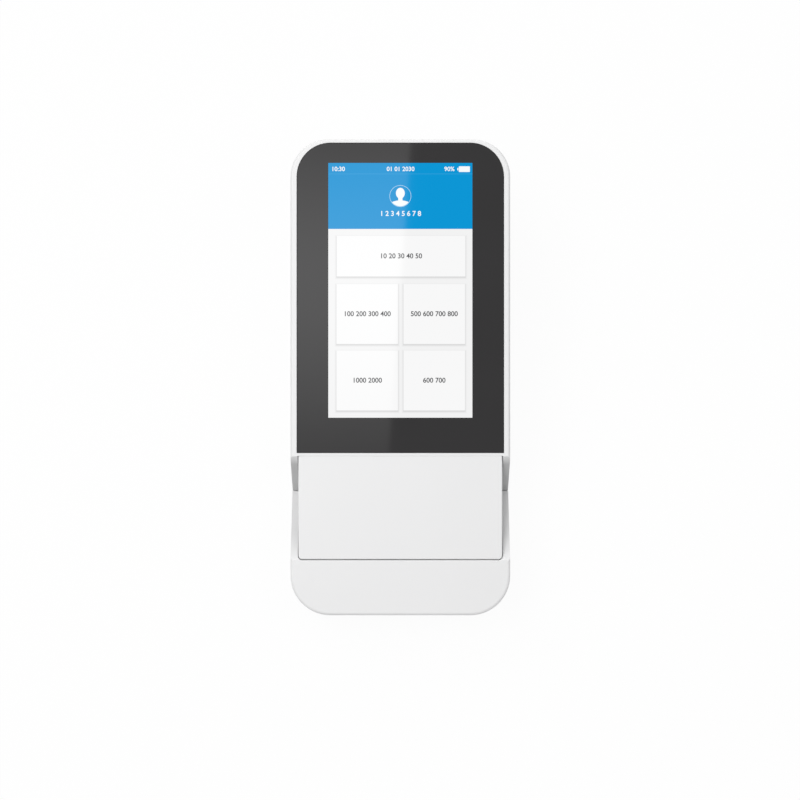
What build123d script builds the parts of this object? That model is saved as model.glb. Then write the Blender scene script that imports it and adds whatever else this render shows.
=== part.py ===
from build123d import *
from math import cos, radians, sin, sqrt, tan
import os

os.makedirs("parts", exist_ok=True)

# Point-of-care analyzer: a wedge-shaped bench instrument with a sloping touch face, a flip-up
# door over the strip bay and a strip reader inside. Millimetres, +Z up, the nose towards -Y,
# the origin on the bench under the middle of the instrument.

# Whole instrument
WIDTH = 97.0
LENGTH = 210.0            # along the sloping face
HEIGHT = 73.0             # rear edge of the face above the bench
TILT = 12.0               # slope of the face
REAR_CORNER = 16.5        # corner radii of the face, seen square on
NOSE_CORNER = 17.6
EDGE_ROUND = 1.2          # rounding between face and side walls
NOSE_LENGTH = 24.4        # flat nose in front of the bay

# Casing shells
UPPER_DEPTH = 20.0        # side wall of the upper shell, square to the face
DRAFT = 2.0
WALL = 2.2
SKIN = 2.5                # thickness of the face wall
SEAM = 0.2                # gap where two mouldings meet
REVEAL = 0.4              # the lower shell stands back from the upper by this
FOOT_STAND = 1.5          # the floor's height above the bench
FLOOR = 2.4
FRONT_TUCK = 3.5          # the base is narrower than the face by this on each side, in front
REAR_TUCK = 5.5           # and by this at the rear
BASE_CORNER = 13.0
CHIN = 7.0                # the base starts this far behind the nose

# Glass and display
GLASS_SIDE_RIM = 2.75     # casing beside the glass
GLASS_TOP_RIM = 1.55      # casing between the glass and the rear edge
GLASS_CORNER = 15.0
GLASS_THICK = 0.9
GLASS_GAP = 0.1
TAPE_THICK = 0.2
SCREEN_SIDE_RIM = 14.0    # black border of the glass round the lit area: 5 inch, 16:9
SCREEN_TOP_RIM = 8.95
SCREEN_LOW_RIM = 15.63
MODULE_RIM = 3.2          # display module beyond the lit area
MODULE_THICK = 2.6
MODULE_CORNER = 1.0
MODULE_GAP = 0.5          # between the module and its window in the casing

# Door, hinge and finger scoops
BRIDGE = 1.25             # bar between the glass and the door
CHEEK = 3.55              # casing beside the door
DOOR_LENGTH = 45.5
DOOR_THICK = 2.2
DOOR_GAP = 0.3
DOOR_CORNER = 1.7
DOOR_EDGE = 0.5           # rounding of the door's free edges and of the nose's edge before it
HINGE_SET = 1.8           # hinge axis below the face, and in front of the door's rear edge
HINGE_GAP = 0.12          # between the door's barrel and its groove
HINGE_PIN_R = 0.75
KNUCKLE_R = 1.2
KNUCKLE_WIDTH = 4.0
KNUCKLE_SET = 4.45        # middle of each hinge bracket from the door's side
RUN_FIT = 0.05            # radial clearance of a turning or sliding fit
SKIRT_THICK = 1.8
SKIRT_LAP = 1.5           # the door's side skirts hang this far below the scoops
SCOOP_DEPTH = 13.0
SCOOP_STEP = 1.3          # the nose's part of the scoop starts this much higher
SCOOP_BREAK = 15.6        # from the door's rear edge to the deepest point
SCOOP_HEEL_SET = 4.4      # the scoop's floor starts to curl up this far from the nose
SCOOP_HEEL_DEPTH = 2.6    # and this far below the face
RIB_DEPTH = 9.6           # rib behind the bay, under the bridge

# Strip bay, level with the bench
STRIP_Z = 20.0            # underside of a strip
STRIP_WIDTH = 24.0
STRIP_THICK = 1.4
STRIP_CLEAR = 0.3
DECK_THICK = 2.0
DECK_SIDE = 0.4           # between the deck and the door's skirts
DECK_GAP = 0.3            # between the deck and the wall in front of the bay
DECK_UPSTAND = 3.0
MOUTH_WIDTH = 30.0
MOUTH_HEIGHT = 6.0
MOUTH_LEAD = 0.9          # chamfer round the mouth

# Details used by several pieces
EDGE_BREAK = 0.2          # small chamfer on glass and door
SHEET_CORNER = 2.0        # corners of sheet metal and boards
PART_GAP = 0.3            # between pieces that only pass each other
BOARD_THICK = 1.6
SCREW_R = 1.25
SCREW_HEAD_R = 2.1
SCREW_HEAD = 1.8
SCREW_HOLE_R = 1.35
POST_R = 3.0              # posts that carry the deck, the reader and the input board

slope = radians(TILT)
lean = tan(radians(DRAFT))
half_width = WIDTH / 2
half_length = LENGTH / 2

# Where the face sits, so that the instrument's box is centred over the origin
round_setback = EDGE_ROUND * (lean + 1 / cos(radians(DRAFT)))
front_reach = (half_length - round_setback) * cos(slope) - EDGE_ROUND * sin(slope) + EDGE_ROUND
rear_reach = (half_length - UPPER_DEPTH * lean) * cos(slope) + UPPER_DEPTH * sin(slope)
FACE_Y = (front_reach - rear_reach) / 2
FACE_Z = HEIGHT - half_length * sin(slope)
REAR_Y = FACE_Y + rear_reach
FRONT_Y = FACE_Y - front_reach

# Work planes: the face (x right, y up the slope) and a side view (x up the slope, y out of the face)
face = Plane(origin=(0, FACE_Y, FACE_Z), x_dir=(1, 0, 0), z_dir=(0, -sin(slope), cos(slope)))
side = Plane(origin=(0, FACE_Y, FACE_Z), x_dir=(0, cos(slope), sin(slope)), z_dir=(1, 0, 0))

# Stations along the face, measured up the slope from its middle
bay_front = NOSE_LENGTH - half_length
door_front = bay_front + DOOR_GAP
door_rear = door_front + DOOR_LENGTH
door_mid = (door_rear + door_front) / 2
lip_front = door_rear + HINGE_GAP
glass_front = lip_front + BRIDGE
glass_rear = half_length - GLASS_TOP_RIM
glass_mid = (glass_rear + glass_front) / 2
glass_length = glass_rear - glass_front
glass_width = WIDTH - 2 * GLASS_SIDE_RIM
screen_width = glass_width - 2 * SCREEN_SIDE_RIM
screen_length = glass_length - SCREEN_TOP_RIM - SCREEN_LOW_RIM
screen_mid = glass_mid + (SCREEN_LOW_RIM - SCREEN_TOP_RIM) / 2
door_width = WIDTH - 2 * CHEEK
bay_half = door_width / 2 + DOOR_GAP
hinge_u = door_rear - HINGE_SET
barrel_r = HINGE_SET * sqrt(2)
groove_r = barrel_r + HINGE_GAP
rib_front = hinge_u + groove_r
rib_rear = rib_front + WALL
scoop_break = door_rear - SCOOP_BREAK
skirt_front = door_front + DOOR_CORNER
knuckle_x = door_width / 2 - KNUCKLE_SET

# Depths below the face, and level heights above the bench
module_top = GLASS_GAP + GLASS_THICK
module_low = module_top + MODULE_THICK
module_width = screen_width + 2 * MODULE_RIM
module_length = screen_length + 2 * MODULE_RIM
recess_depth = module_top + TAPE_THICK
floor_z = FOOT_STAND + FLOOR
deck_z = STRIP_Z - DECK_THICK
nose_wall_depth = (FACE_Z + (bay_front - WALL) * sin(slope) - STRIP_Z) / cos(slope) - DECK_GAP


def height_under_face(y, depth):
    """Height above the bench of the plane that lies `depth` under the face, at bench distance y."""
    return FACE_Z + (y - FACE_Y) * tan(slope) - depth / cos(slope)


def bench_y(u, depth):
    """Bench distance of the point at station u along the face, `depth` under it."""
    return FACE_Y + u * cos(slope) + depth * sin(slope)


def write_piece(builder, name):
    """Label a finished piece and write it to its own file."""
    builder.part.label = name
    export_step(builder.part, f"parts/{name}.step")


def edges_across(builder, u, depth):
    """The builder's straight edges along X at station u and `depth` under the face."""
    spot = face.from_local_coords(Vector(0, u, -depth))
    edges = builder.edges().filter_by(Axis.X)
    return edges.filter_by(lambda edge: (edge.center() - spot).dot(face.y_dir) ** 2 < SEAM**2).filter_by(
        lambda edge: (edge.center() - spot).dot(face.z_dir) ** 2 < SEAM**2
    )


def casing_outline(inset):
    """The face's outline, drawn inset from its edge: a rectangle with four rounded corners."""
    with BuildSketch() as outline:
        Rectangle(WIDTH - 2 * inset, LENGTH - 2 * inset)
        fillet(outline.vertices().sort_by(Axis.Y)[2:], REAR_CORNER - inset)
        fillet(outline.vertices().sort_by(Axis.Y)[:2], NOSE_CORNER - inset)
    return outline.sketch


def base_outline(inset):
    """The base's outline on the bench side, narrower at the rear, drawn inset from its edge."""
    front = FRONT_Y + CHIN + inset
    rear = REAR_Y - REVEAL - inset
    front_half = half_width - FRONT_TUCK - inset
    rear_half = half_width - REAR_TUCK - inset
    with BuildSketch() as outline:
        with BuildLine():
            Polyline(
                (front_half, front),
                (rear_half, rear),
                (-rear_half, rear),
                (-front_half, front),
                close=True,
            )
        make_face()
        fillet(outline.vertices(), BASE_CORNER - inset)
    return outline.sketch


def glass_outline(inset):
    """The cover glass: round corners at the rear, square corners at the door."""
    with BuildSketch() as outline:
        with Locations((0, glass_mid)):
            Rectangle(glass_width - 2 * inset, glass_length - 2 * inset)
        fillet(outline.vertices().sort_by(Axis.Y)[2:], GLASS_CORNER - inset)
    return outline.sketch


def scoop_profile(drop):
    """Side view of the finger scoop, lowered by `drop`.

    It falls in a straight slope from the door's rear edge, steps up at the seam between the
    two mouldings, climbs straight to its heel and curls up from there to the nose's edge.
    """
    rear_top = (door_rear, -drop)
    deepest = (scoop_break, -SCOOP_DEPTH - drop)
    step_top = (scoop_break, SCOOP_STEP - SCOOP_DEPTH - drop)
    heel = (bay_front + SCOOP_HEEL_SET, -SCOOP_HEEL_DEPTH - drop)
    front_top = (bay_front, -drop)
    climb = (heel[0] - step_top[0], heel[1] - step_top[1])
    with BuildSketch() as profile:
        with BuildLine():
            Polyline(rear_top, deepest, step_top, heel)
            TangentArc(heel, front_top, tangent=climb)
            Polyline(front_top, (bay_front, SKIN), (door_rear, SKIN), rear_top)
        make_face()
    return profile.sketch


# Casing screws: middles seen from below, under the nose, the glass and the rear
SCREW_NOSE_SET = (15.5, 16.3)     # from the side and from the nose
SCREW_SIDE_SET = 9.3              # the other four from the side
SCREW_MIDDLE_SET = 20.0           # behind the bay
SCREW_REAR_SET = 30.3             # in front of the rear panel
CASE_BOSS_R = 2.6
CASE_PILOT_R = 1.05
CASE_PILOT_DEPTH = 9.0
CASE_SCREW_TIP = 1.0              # pilot hole left beyond the screw
CASE_POST_R = 3.7
SCREW_SEAT = 3.0                  # plastic under each casing screw's head
SINK_R = 2.4
screw_points = [
    (half_width - SCREW_NOSE_SET[0], FRONT_Y + SCREW_NOSE_SET[1]),
    (half_width - SCREW_SIDE_SET, bench_y(rib_front, RIB_DEPTH) + SCREW_MIDDLE_SET),
    (half_width - SCREW_SIDE_SET, REAR_Y - SCREW_REAR_SET),
]
screw_points += [(-x, y) for x, y in screw_points]

# Solid of the upper shell, before it is hollowed
with BuildPart() as shell_block:
    with BuildSketch(face):
        add(casing_outline(0))
    with BuildSketch(face.offset(-UPPER_DEPTH)):
        add(casing_outline(UPPER_DEPTH * lean))
    loft(ruled=True)
    top_face = shell_block.faces().filter_by(face).sort_by(Axis.Z)[-1]
    fillet(top_face.edges(), EDGE_ROUND)

# Hollow of the upper shell
with BuildPart() as shell_hollow:
    with BuildSketch(face.offset(-SKIN)):
        add(casing_outline(WALL + SKIN * lean))
    with BuildSketch(face.offset(-UPPER_DEPTH)):
        add(casing_outline(WALL + UPPER_DEPTH * lean))
    loft(ruled=True)

# Full-thickness cheeks on both sides of the bay
cheek_front = bay_front - WALL
with BuildPart() as cheeks:
    add(shell_block.part)
    with BuildSketch(face.offset(SKIN)):
        with Locations((0, (cheek_front + rib_front) / 2)):
            Rectangle(2 * WIDTH, rib_front - cheek_front)
            Rectangle(2 * bay_half, rib_front - cheek_front, mode=Mode.SUBTRACT)
    extrude(amount=-(UPPER_DEPTH + 2 * SKIN), mode=Mode.INTERSECT)

# Screw bosses under the face
with BuildPart() as upper_bosses:
    with BuildSketch(Plane.XY):
        with Locations(*screw_points):
            Circle(CASE_BOSS_R)
    extrude(amount=HEIGHT)
    add(shell_block.part, mode=Mode.INTERSECT)

# Upper shell in one piece with the nose
with BuildPart() as upper_shell:
    add(shell_block.part)
    add(shell_hollow.part, mode=Mode.SUBTRACT)
    add(cheeks.part)
    add(upper_bosses.part)
    with BuildSketch(face.offset(-recess_depth)):
        with Locations((0, bay_front - WALL / 2)):
            Rectangle(2 * bay_half + WALL, WALL)
    extrude(amount=-(nose_wall_depth - recess_depth))
    with BuildSketch(face.offset(-recess_depth)):
        with Locations((0, rib_front + WALL / 2)):
            Rectangle(2 * bay_half + WALL, WALL)
    extrude(amount=-(RIB_DEPTH - recess_depth))
    with BuildSketch(face.offset(SKIN)):
        add(glass_outline(0))
    extrude(amount=-(SKIN + recess_depth), mode=Mode.SUBTRACT)
    with BuildSketch(face.offset(SKIN)):
        with Locations((0, screen_mid)):
            Rectangle(module_width + 2 * MODULE_GAP, module_length + 2 * MODULE_GAP)
    extrude(amount=-3 * SKIN, mode=Mode.SUBTRACT)
    with BuildSketch(face.offset(SKIN)):
        with Locations((0, (bay_front + lip_front) / 2)):
            bay = Rectangle(2 * bay_half, lip_front - bay_front)
        fillet(bay.vertices().sort_by(Axis.Y)[:2], DOOR_CORNER + DOOR_GAP)
    extrude(amount=-3 * SKIN, mode=Mode.SUBTRACT)
    fillet(edges_across(upper_shell, bay_front, 0), DOOR_EDGE)
    with BuildSketch(side.offset(-bay_half)):
        with Locations((hinge_u, -HINGE_SET)):
            Circle(groove_r)
    extrude(amount=2 * bay_half, mode=Mode.SUBTRACT)
    with BuildSketch(side.offset(-WIDTH)):
        add(scoop_profile(0))
    extrude(amount=2 * WIDTH, mode=Mode.SUBTRACT)
    for x, y in screw_points:
        pilot_top = height_under_face(y, UPPER_DEPTH) + CASE_PILOT_DEPTH
        with BuildSketch(Plane.XY.offset(pilot_top)):
            with Locations((x, y)):
                Circle(CASE_PILOT_R)
        extrude(amount=-pilot_top, mode=Mode.SUBTRACT)

# Slots in the rib for the hinge brackets' arms
ARM_THICK = 2.0
ARM_DROP = 2.7            # the arm's top lies this far under the hinge axis
BRACKET_FOOT = 1.6
FOOT_WIDTH = 9.0
SLOT_GAP = 0.25
arm_top = -(HINGE_SET + ARM_DROP)
arm_mid = arm_top - ARM_THICK / 2
foot_top = SKIN + SLOT_GAP
foot_low = RIB_DEPTH - SLOT_GAP
seam_plane = Plane(
    origin=face.from_local_coords((0, scoop_break, 0)),
    x_dir=(1, 0, 0),
    z_dir=(0, cos(slope), sin(slope)),
)

# Upper casing: glass frame, side walls, bridge bar and the straight slopes of the scoops
with BuildPart() as upper_casing:
    add(upper_shell.part)
    for x in (-knuckle_x, knuckle_x):
        with BuildSketch(side.offset(x - KNUCKLE_WIDTH / 2 - SLOT_GAP)):
            with Locations((rib_front + WALL / 2, arm_mid)):
                Rectangle(2 * WALL, ARM_THICK + 2 * SLOT_GAP)
        extrude(amount=KNUCKLE_WIDTH + 2 * SLOT_GAP, mode=Mode.SUBTRACT)
    split(bisect_by=seam_plane, keep=Keep.TOP)
write_piece(upper_casing, "upper_casing")

# Nose cover: the flat nose, the wall in front of the bay and the curved ends of the scoops
with BuildPart() as nose_cover:
    add(upper_shell.part)
    split(bisect_by=seam_plane.offset(-SEAM), keep=Keep.BOTTOM)
write_piece(nose_cover, "nose_cover")

# Ports in the rear wall, on one level
PORT_Z = 17.0
INLET_X = -24.0
USB_X = (-8.0, 8.0)
BUTTON_X = 24.0
USB_WIDTH = 13.2
USB_HEIGHT = 5.8
USB_DEEP = 14.0
INLET_R = 4.0
BUTTON_R = 3.6
BUTTON_FIT = 0.15
PORT_GAP = 0.3

# The strip deck's ends, and the reader frame behind it
FRAME_SET = 4.9           # from the deck to the reader frame
FRAME_WIDTH = 56.0
FRAME_Z = 7.0
FRAME_THICK = 1.6
FRAME_POST_SET = (5.0, 6.0)       # posts from the frame's sides and ends
BLOCK_THICK = 3.0         # bearing blocks at the frame's ends
CARRIAGE_SET = 4.0        # from the front bearing block
CARRIAGE_LENGTH = 12.0
CARRIAGE_TRAVEL = 30.0
CARRIAGE_STOP = 6.0       # left before the rear bearing block at full travel
DECK_OVERLAP = 1.0        # the deck runs on under the rib by this
deck_rear = bench_y(rib_front, RIB_DEPTH) + DECK_OVERLAP
deck_front = bench_y(bay_front - WALL, nose_wall_depth)
deck_mid = (deck_rear + deck_front) / 2
deck_length = deck_rear - deck_front
deck_width = door_width - 2 * (SKIRT_THICK + DECK_SIDE)
frame_length = CARRIAGE_SET + CARRIAGE_LENGTH + CARRIAGE_TRAVEL + CARRIAGE_STOP + 2 * BLOCK_THICK
frame_front = deck_rear + FRAME_SET
frame_rear = frame_front + frame_length
frame_mid = (frame_front + frame_rear) / 2

# Input board behind the ports
IO_WIDTH = 62.0
IO_LENGTH = 17.0
IO_GAP = 0.5
IO_POST_SET = 4.0         # posts from the board's sides and front
BOARD_Z = 11.0
rear_inside = REAR_Y - REVEAL - WALL
io_rear = rear_inside - IO_GAP
io_front = io_rear - IO_LENGTH
io_top = BOARD_Z + BOARD_THICK

# Posts on the floor
DECK_POST_SET = (5.5, 12.0, 8.1)  # from the deck's sides, its front and its rear
deck_posts = [
    (deck_width / 2 - DECK_POST_SET[0], deck_front + DECK_POST_SET[1]),
    (deck_width / 2 - DECK_POST_SET[0], deck_rear - DECK_POST_SET[2]),
]
deck_posts += [(-x, y) for x, y in deck_posts]
frame_posts = [
    (FRAME_WIDTH / 2 - FRAME_POST_SET[0], frame_front + FRAME_POST_SET[1]),
    (FRAME_WIDTH / 2 - FRAME_POST_SET[0], frame_rear - FRAME_POST_SET[1]),
]
frame_posts += [(-x, y) for x, y in frame_posts]
io_posts = [(side_x * (IO_WIDTH / 2 - IO_POST_SET), io_front + IO_POST_SET) for side_x in (-1, 1)]

# Speaker with its sound slots, and the feet
SPEAKER_R = 9.0
SPEAKER_HEIGHT = 4.0
SPEAKER_SHIFT = 4.0       # behind the deck's middle
SPEAKER_EDGE = 1.0
SOUND_SLOTS = 5
SOUND_PITCH = 2.4
SOUND_WIDTH = 1.1
SOUND_LENGTH = 10.8
FOOT_R = 6.0
FOOT_RECESS = 0.8
FOOT_EDGE = 0.4
FOOT_SIDE_SET = 11.0
FOOT_NOSE_SET = 26.3
FOOT_REAR_SET = 16.3
speaker_y = deck_mid + SPEAKER_SHIFT
foot_front_x = half_width - FRONT_TUCK - FOOT_SIDE_SET
foot_rear_x = half_width - REAR_TUCK - FOOT_SIDE_SET
foot_points = [(foot_front_x, FRONT_Y + FOOT_NOSE_SET), (foot_rear_x, REAR_Y - FOOT_REAR_SET)]
foot_points += [(-x, y) for x, y in foot_points]


def lower_solid(inset, low):
    """The lower shell's solid: a loft from the sloping seam to the level base."""
    seam_inset = UPPER_DEPTH * lean + REVEAL + inset
    with BuildPart() as block:
        with BuildSketch(face.offset(-(UPPER_DEPTH + SEAM))):
            add(casing_outline(seam_inset))
        with BuildSketch(Plane.XY.offset(low)):
            add(base_outline(inset))
        loft(ruled=True)
    return block.part


# Posts for the casing screws, cut to the lower shell's own outside
with BuildPart() as lower_posts:
    with BuildSketch(Plane.XY):
        with Locations(*screw_points):
            Circle(CASE_POST_R)
    extrude(amount=HEIGHT)
    add(lower_solid(0, FOOT_STAND), mode=Mode.INTERSECT)

# Lower casing: the wedge-shaped tub that everything stands in
post_foot = FOOT_STAND + FLOOR / 2
with BuildPart() as lower_casing:
    add(lower_solid(0, FOOT_STAND))
    add(lower_solid(WALL, floor_z), mode=Mode.SUBTRACT)
    add(lower_posts.part)
    for points, top in ((deck_posts, deck_z), (frame_posts, FRAME_Z), (io_posts, BOARD_Z)):
        with BuildSketch(Plane.XY.offset(post_foot)):
            with Locations(*points):
                Circle(POST_R)
        extrude(amount=top - post_foot)
    for x, y in screw_points:
        seat = height_under_face(y, UPPER_DEPTH + SEAM) - SCREW_SEAT
        with BuildSketch(Plane.XY):
            with Locations((x, y)):
                Circle(SINK_R)
        extrude(amount=seat, mode=Mode.SUBTRACT)
        with BuildSketch(Plane.XY):
            with Locations((x, y)):
                Circle(SCREW_HOLE_R)
        extrude(amount=HEIGHT, mode=Mode.SUBTRACT)
    with BuildSketch(Plane.XY):
        with Locations(*foot_points):
            Circle(FOOT_R)
    extrude(amount=FOOT_STAND + FOOT_RECESS, mode=Mode.SUBTRACT)
    with BuildSketch(Plane.XY):
        with Locations((0, speaker_y)):
            with GridLocations(0, SOUND_PITCH, 1, SOUND_SLOTS):
                SlotOverall(SOUND_LENGTH, SOUND_WIDTH)
    extrude(amount=floor_z, mode=Mode.SUBTRACT)
    with BuildSketch(Plane.XZ.offset(-(REAR_Y + WALL))):
        with Locations((INLET_X, PORT_Z)):
            Circle(INLET_R)
        with Locations((USB_X[0], PORT_Z), (USB_X[1], PORT_Z)):
            Rectangle(USB_WIDTH + 2 * PORT_GAP, USB_HEIGHT + 2 * PORT_GAP)
        with Locations((BUTTON_X, PORT_Z)):
            Circle(BUTTON_R + BUTTON_FIT)
    extrude(amount=3 * WALL + REVEAL, mode=Mode.SUBTRACT)
write_piece(lower_casing, "lower_casing")

# Rubber feet in their recesses
with BuildPart() as rubber_feet:
    with BuildSketch():
        with Locations(*foot_points):
            Circle(FOOT_R - SEAM)
    extrude(amount=FOOT_STAND + FOOT_RECESS)
    chamfer(rubber_feet.faces().sort_by(Axis.Z)[: len(foot_points)].edges(), FOOT_EDGE)
write_piece(rubber_feet, "rubber_feet")

# Casing screws, deep in their posts
with BuildPart() as casing_screws:
    for x, y in screw_points:
        seat = height_under_face(y, UPPER_DEPTH + SEAM) - SCREW_SEAT
        with BuildSketch(Plane.XY.offset(seat)):
            with Locations((x, y)):
                Circle(SCREW_HEAD_R)
        extrude(amount=-SCREW_HEAD)
        with BuildSketch(Plane.XY.offset(seat)):
            with Locations((x, y)):
                Circle(CASE_PILOT_R)
        extrude(amount=SCREW_SEAT + CASE_PILOT_DEPTH - CASE_SCREW_TIP)
write_piece(casing_screws, "casing_screws")

# Cover glass
with BuildPart() as cover_glass:
    with BuildSketch(face.offset(-GLASS_GAP)):
        add(glass_outline(GLASS_GAP))
    extrude(amount=-GLASS_THICK)
    chamfer(cover_glass.faces().filter_by(face).sort_by(Axis.Z)[-1].edges(), EDGE_BREAK)
write_piece(cover_glass, "cover_glass")

# Adhesive frame between the glass and its ledge
with BuildPart() as glass_tape:
    with BuildSketch(face.offset(-module_top)):
        add(glass_outline(GLASS_GAP * 2))
        with Locations((0, screen_mid)):
            Rectangle(
                module_width + 2 * MODULE_GAP, module_length + 2 * MODULE_GAP, mode=Mode.SUBTRACT
            )
    extrude(amount=-TAPE_THICK)
write_piece(glass_tape, "glass_tape")

# Display module behind the glass: cell and backlight
with BuildPart() as display_module:
    with BuildSketch(face.offset(-module_top)):
        with Locations((0, screen_mid)):
            RectangleRounded(module_width, module_length, MODULE_CORNER)
    extrude(amount=-MODULE_THICK)
write_piece(display_module, "display_module")

# Display tray: a shallow metal pan behind the module, with pillars for the main board
TRAY_WALL = 1.2
TRAY_GAP = 0.3
TRAY_THICK = 1.0
TRAY_CUSHION = 0.2        # foam between the module and the pan
TRAY_WINDOWS = 3
TRAY_WINDOW_WIDTH = 44.0
TRAY_WEB = 12.5           # metal left between the windows
TRAY_WINDOW_CORNER = 3.0
PILLAR_R = 2.5
PILLAR_LENGTH = 4.2
PILLAR_SET = 4.0          # from the main board's edges
PILLAR_SKIN = 0.6         # metal left above the pillar's thread
MAIN_LENGTH = 74.0
MAIN_SIDE = 2.95          # main board inside the module's width
MAIN_REAR = 5.35          # and in front of its rear edge
tray_top = SKIN + PART_GAP
tray_low = module_low + TRAY_CUSHION + TRAY_THICK
tray_width = module_width + 2 * (TRAY_WALL + TRAY_GAP)
tray_length = module_length + 2 * (TRAY_WALL + TRAY_GAP)
window_pitch = screen_length / TRAY_WINDOWS
board_depth = tray_low + PILLAR_LENGTH
board_low = board_depth + BOARD_THICK
main_width = module_width - 2 * MAIN_SIDE
main_mid = screen_mid + module_length / 2 - MAIN_REAR - MAIN_LENGTH / 2
pillar_pitch_x = main_width - 2 * PILLAR_SET
pillar_pitch_u = MAIN_LENGTH - 2 * PILLAR_SET
with BuildPart() as display_tray:
    with BuildSketch(face.offset(-tray_top)):
        with Locations((0, screen_mid)):
            RectangleRounded(tray_width, tray_length, SHEET_CORNER)
    extrude(amount=-(tray_low - tray_top))
    with BuildSketch(face.offset(-tray_top)):
        with Locations((0, screen_mid)):
            Rectangle(tray_width - 2 * TRAY_WALL, tray_length - 2 * TRAY_WALL)
    extrude(amount=-(tray_low - tray_top - TRAY_THICK), mode=Mode.SUBTRACT)
    with BuildSketch(face.offset(-tray_top)):
        with Locations((0, screen_mid)):
            with GridLocations(0, window_pitch, 1, TRAY_WINDOWS):
                RectangleRounded(TRAY_WINDOW_WIDTH, window_pitch - TRAY_WEB, TRAY_WINDOW_CORNER)
    extrude(amount=-2 * tray_low, mode=Mode.SUBTRACT)
    with BuildSketch(face.offset(-tray_low)):
        with Locations((0, main_mid)):
            with GridLocations(pillar_pitch_x, pillar_pitch_u, 2, 2):
                Circle(PILLAR_R)
    extrude(amount=-PILLAR_LENGTH)
    with BuildSketch(face.offset(-board_depth)):
        with Locations((0, main_mid)):
            with GridLocations(pillar_pitch_x, pillar_pitch_u, 2, 2):
                Circle(SCREW_R)
    extrude(amount=PILLAR_LENGTH - PILLAR_SKIN, mode=Mode.SUBTRACT)
write_piece(display_tray, "display_tray")

# Main board
with BuildPart() as main_board:
    with BuildSketch(face.offset(-board_depth)):
        with Locations((0, main_mid)):
            RectangleRounded(main_width, MAIN_LENGTH, SHEET_CORNER)
            with GridLocations(pillar_pitch_x, pillar_pitch_u, 2, 2):
                Circle(SCREW_HOLE_R, mode=Mode.SUBTRACT)
    extrude(amount=-BOARD_THICK)
write_piece(main_board, "main_board")

# Shield can, two chips and a connector on the main board
CAN_WIDTH = 30.0
CAN_LENGTH = 24.0
CAN_HEIGHT = 2.4
CAN_SHIFT = 16.0
CHIP_SIZE = 12.0
CHIP_HEIGHT = 1.2
CHIP_PITCH = 34.0
CHIP_SHIFT = -9.0
PLUG_WIDTH = 22.0
PLUG_LENGTH = 4.0
PLUG_SHIFT = -27.0
with BuildPart() as board_chips:
    with BuildSketch(face.offset(-board_low)):
        with Locations((0, main_mid + CAN_SHIFT)):
            RectangleRounded(CAN_WIDTH, CAN_LENGTH, 1.0)
    extrude(amount=-CAN_HEIGHT)
    with BuildSketch(face.offset(-board_low)):
        with Locations((0, main_mid + CHIP_SHIFT)):
            with GridLocations(CHIP_PITCH, 0, 2, 1):
                Rectangle(CHIP_SIZE, CHIP_SIZE)
        with Locations((0, main_mid + PLUG_SHIFT)):
            Rectangle(PLUG_WIDTH, PLUG_LENGTH)
    extrude(amount=-CHIP_HEIGHT)
write_piece(board_chips, "board_chips")

# Screws that hold the main board to the pillars
BOARD_SCREW_HEAD = 1.4
with BuildPart() as board_screws:
    with BuildSketch(face.offset(-board_low)):
        with Locations((0, main_mid)):
            with GridLocations(pillar_pitch_x, pillar_pitch_u, 2, 2):
                Circle(SCREW_HEAD_R)
    extrude(amount=-BOARD_SCREW_HEAD)
    with BuildSketch(face.offset(-board_low)):
        with Locations((0, main_mid)):
            with GridLocations(pillar_pitch_x, pillar_pitch_u, 2, 2):
                Circle(SCREW_R)
    extrude(amount=board_low - tray_low - PILLAR_SKIN - SEAM)
write_piece(board_screws, "board_screws")

# Side skirts of the door, which follow the finger scoops
with BuildPart() as door_skirts:
    with BuildSketch(side.offset(-door_width / 2)):
        add(scoop_profile(SKIRT_LAP))
        with Locations(((hinge_u + skirt_front) / 2, -DOOR_THICK / 2 - WIDTH / 2)):
            Rectangle(hinge_u - skirt_front, WIDTH, mode=Mode.INTERSECT)
    extrude(amount=SKIRT_THICK)
    mirror(about=Plane.YZ)

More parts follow.
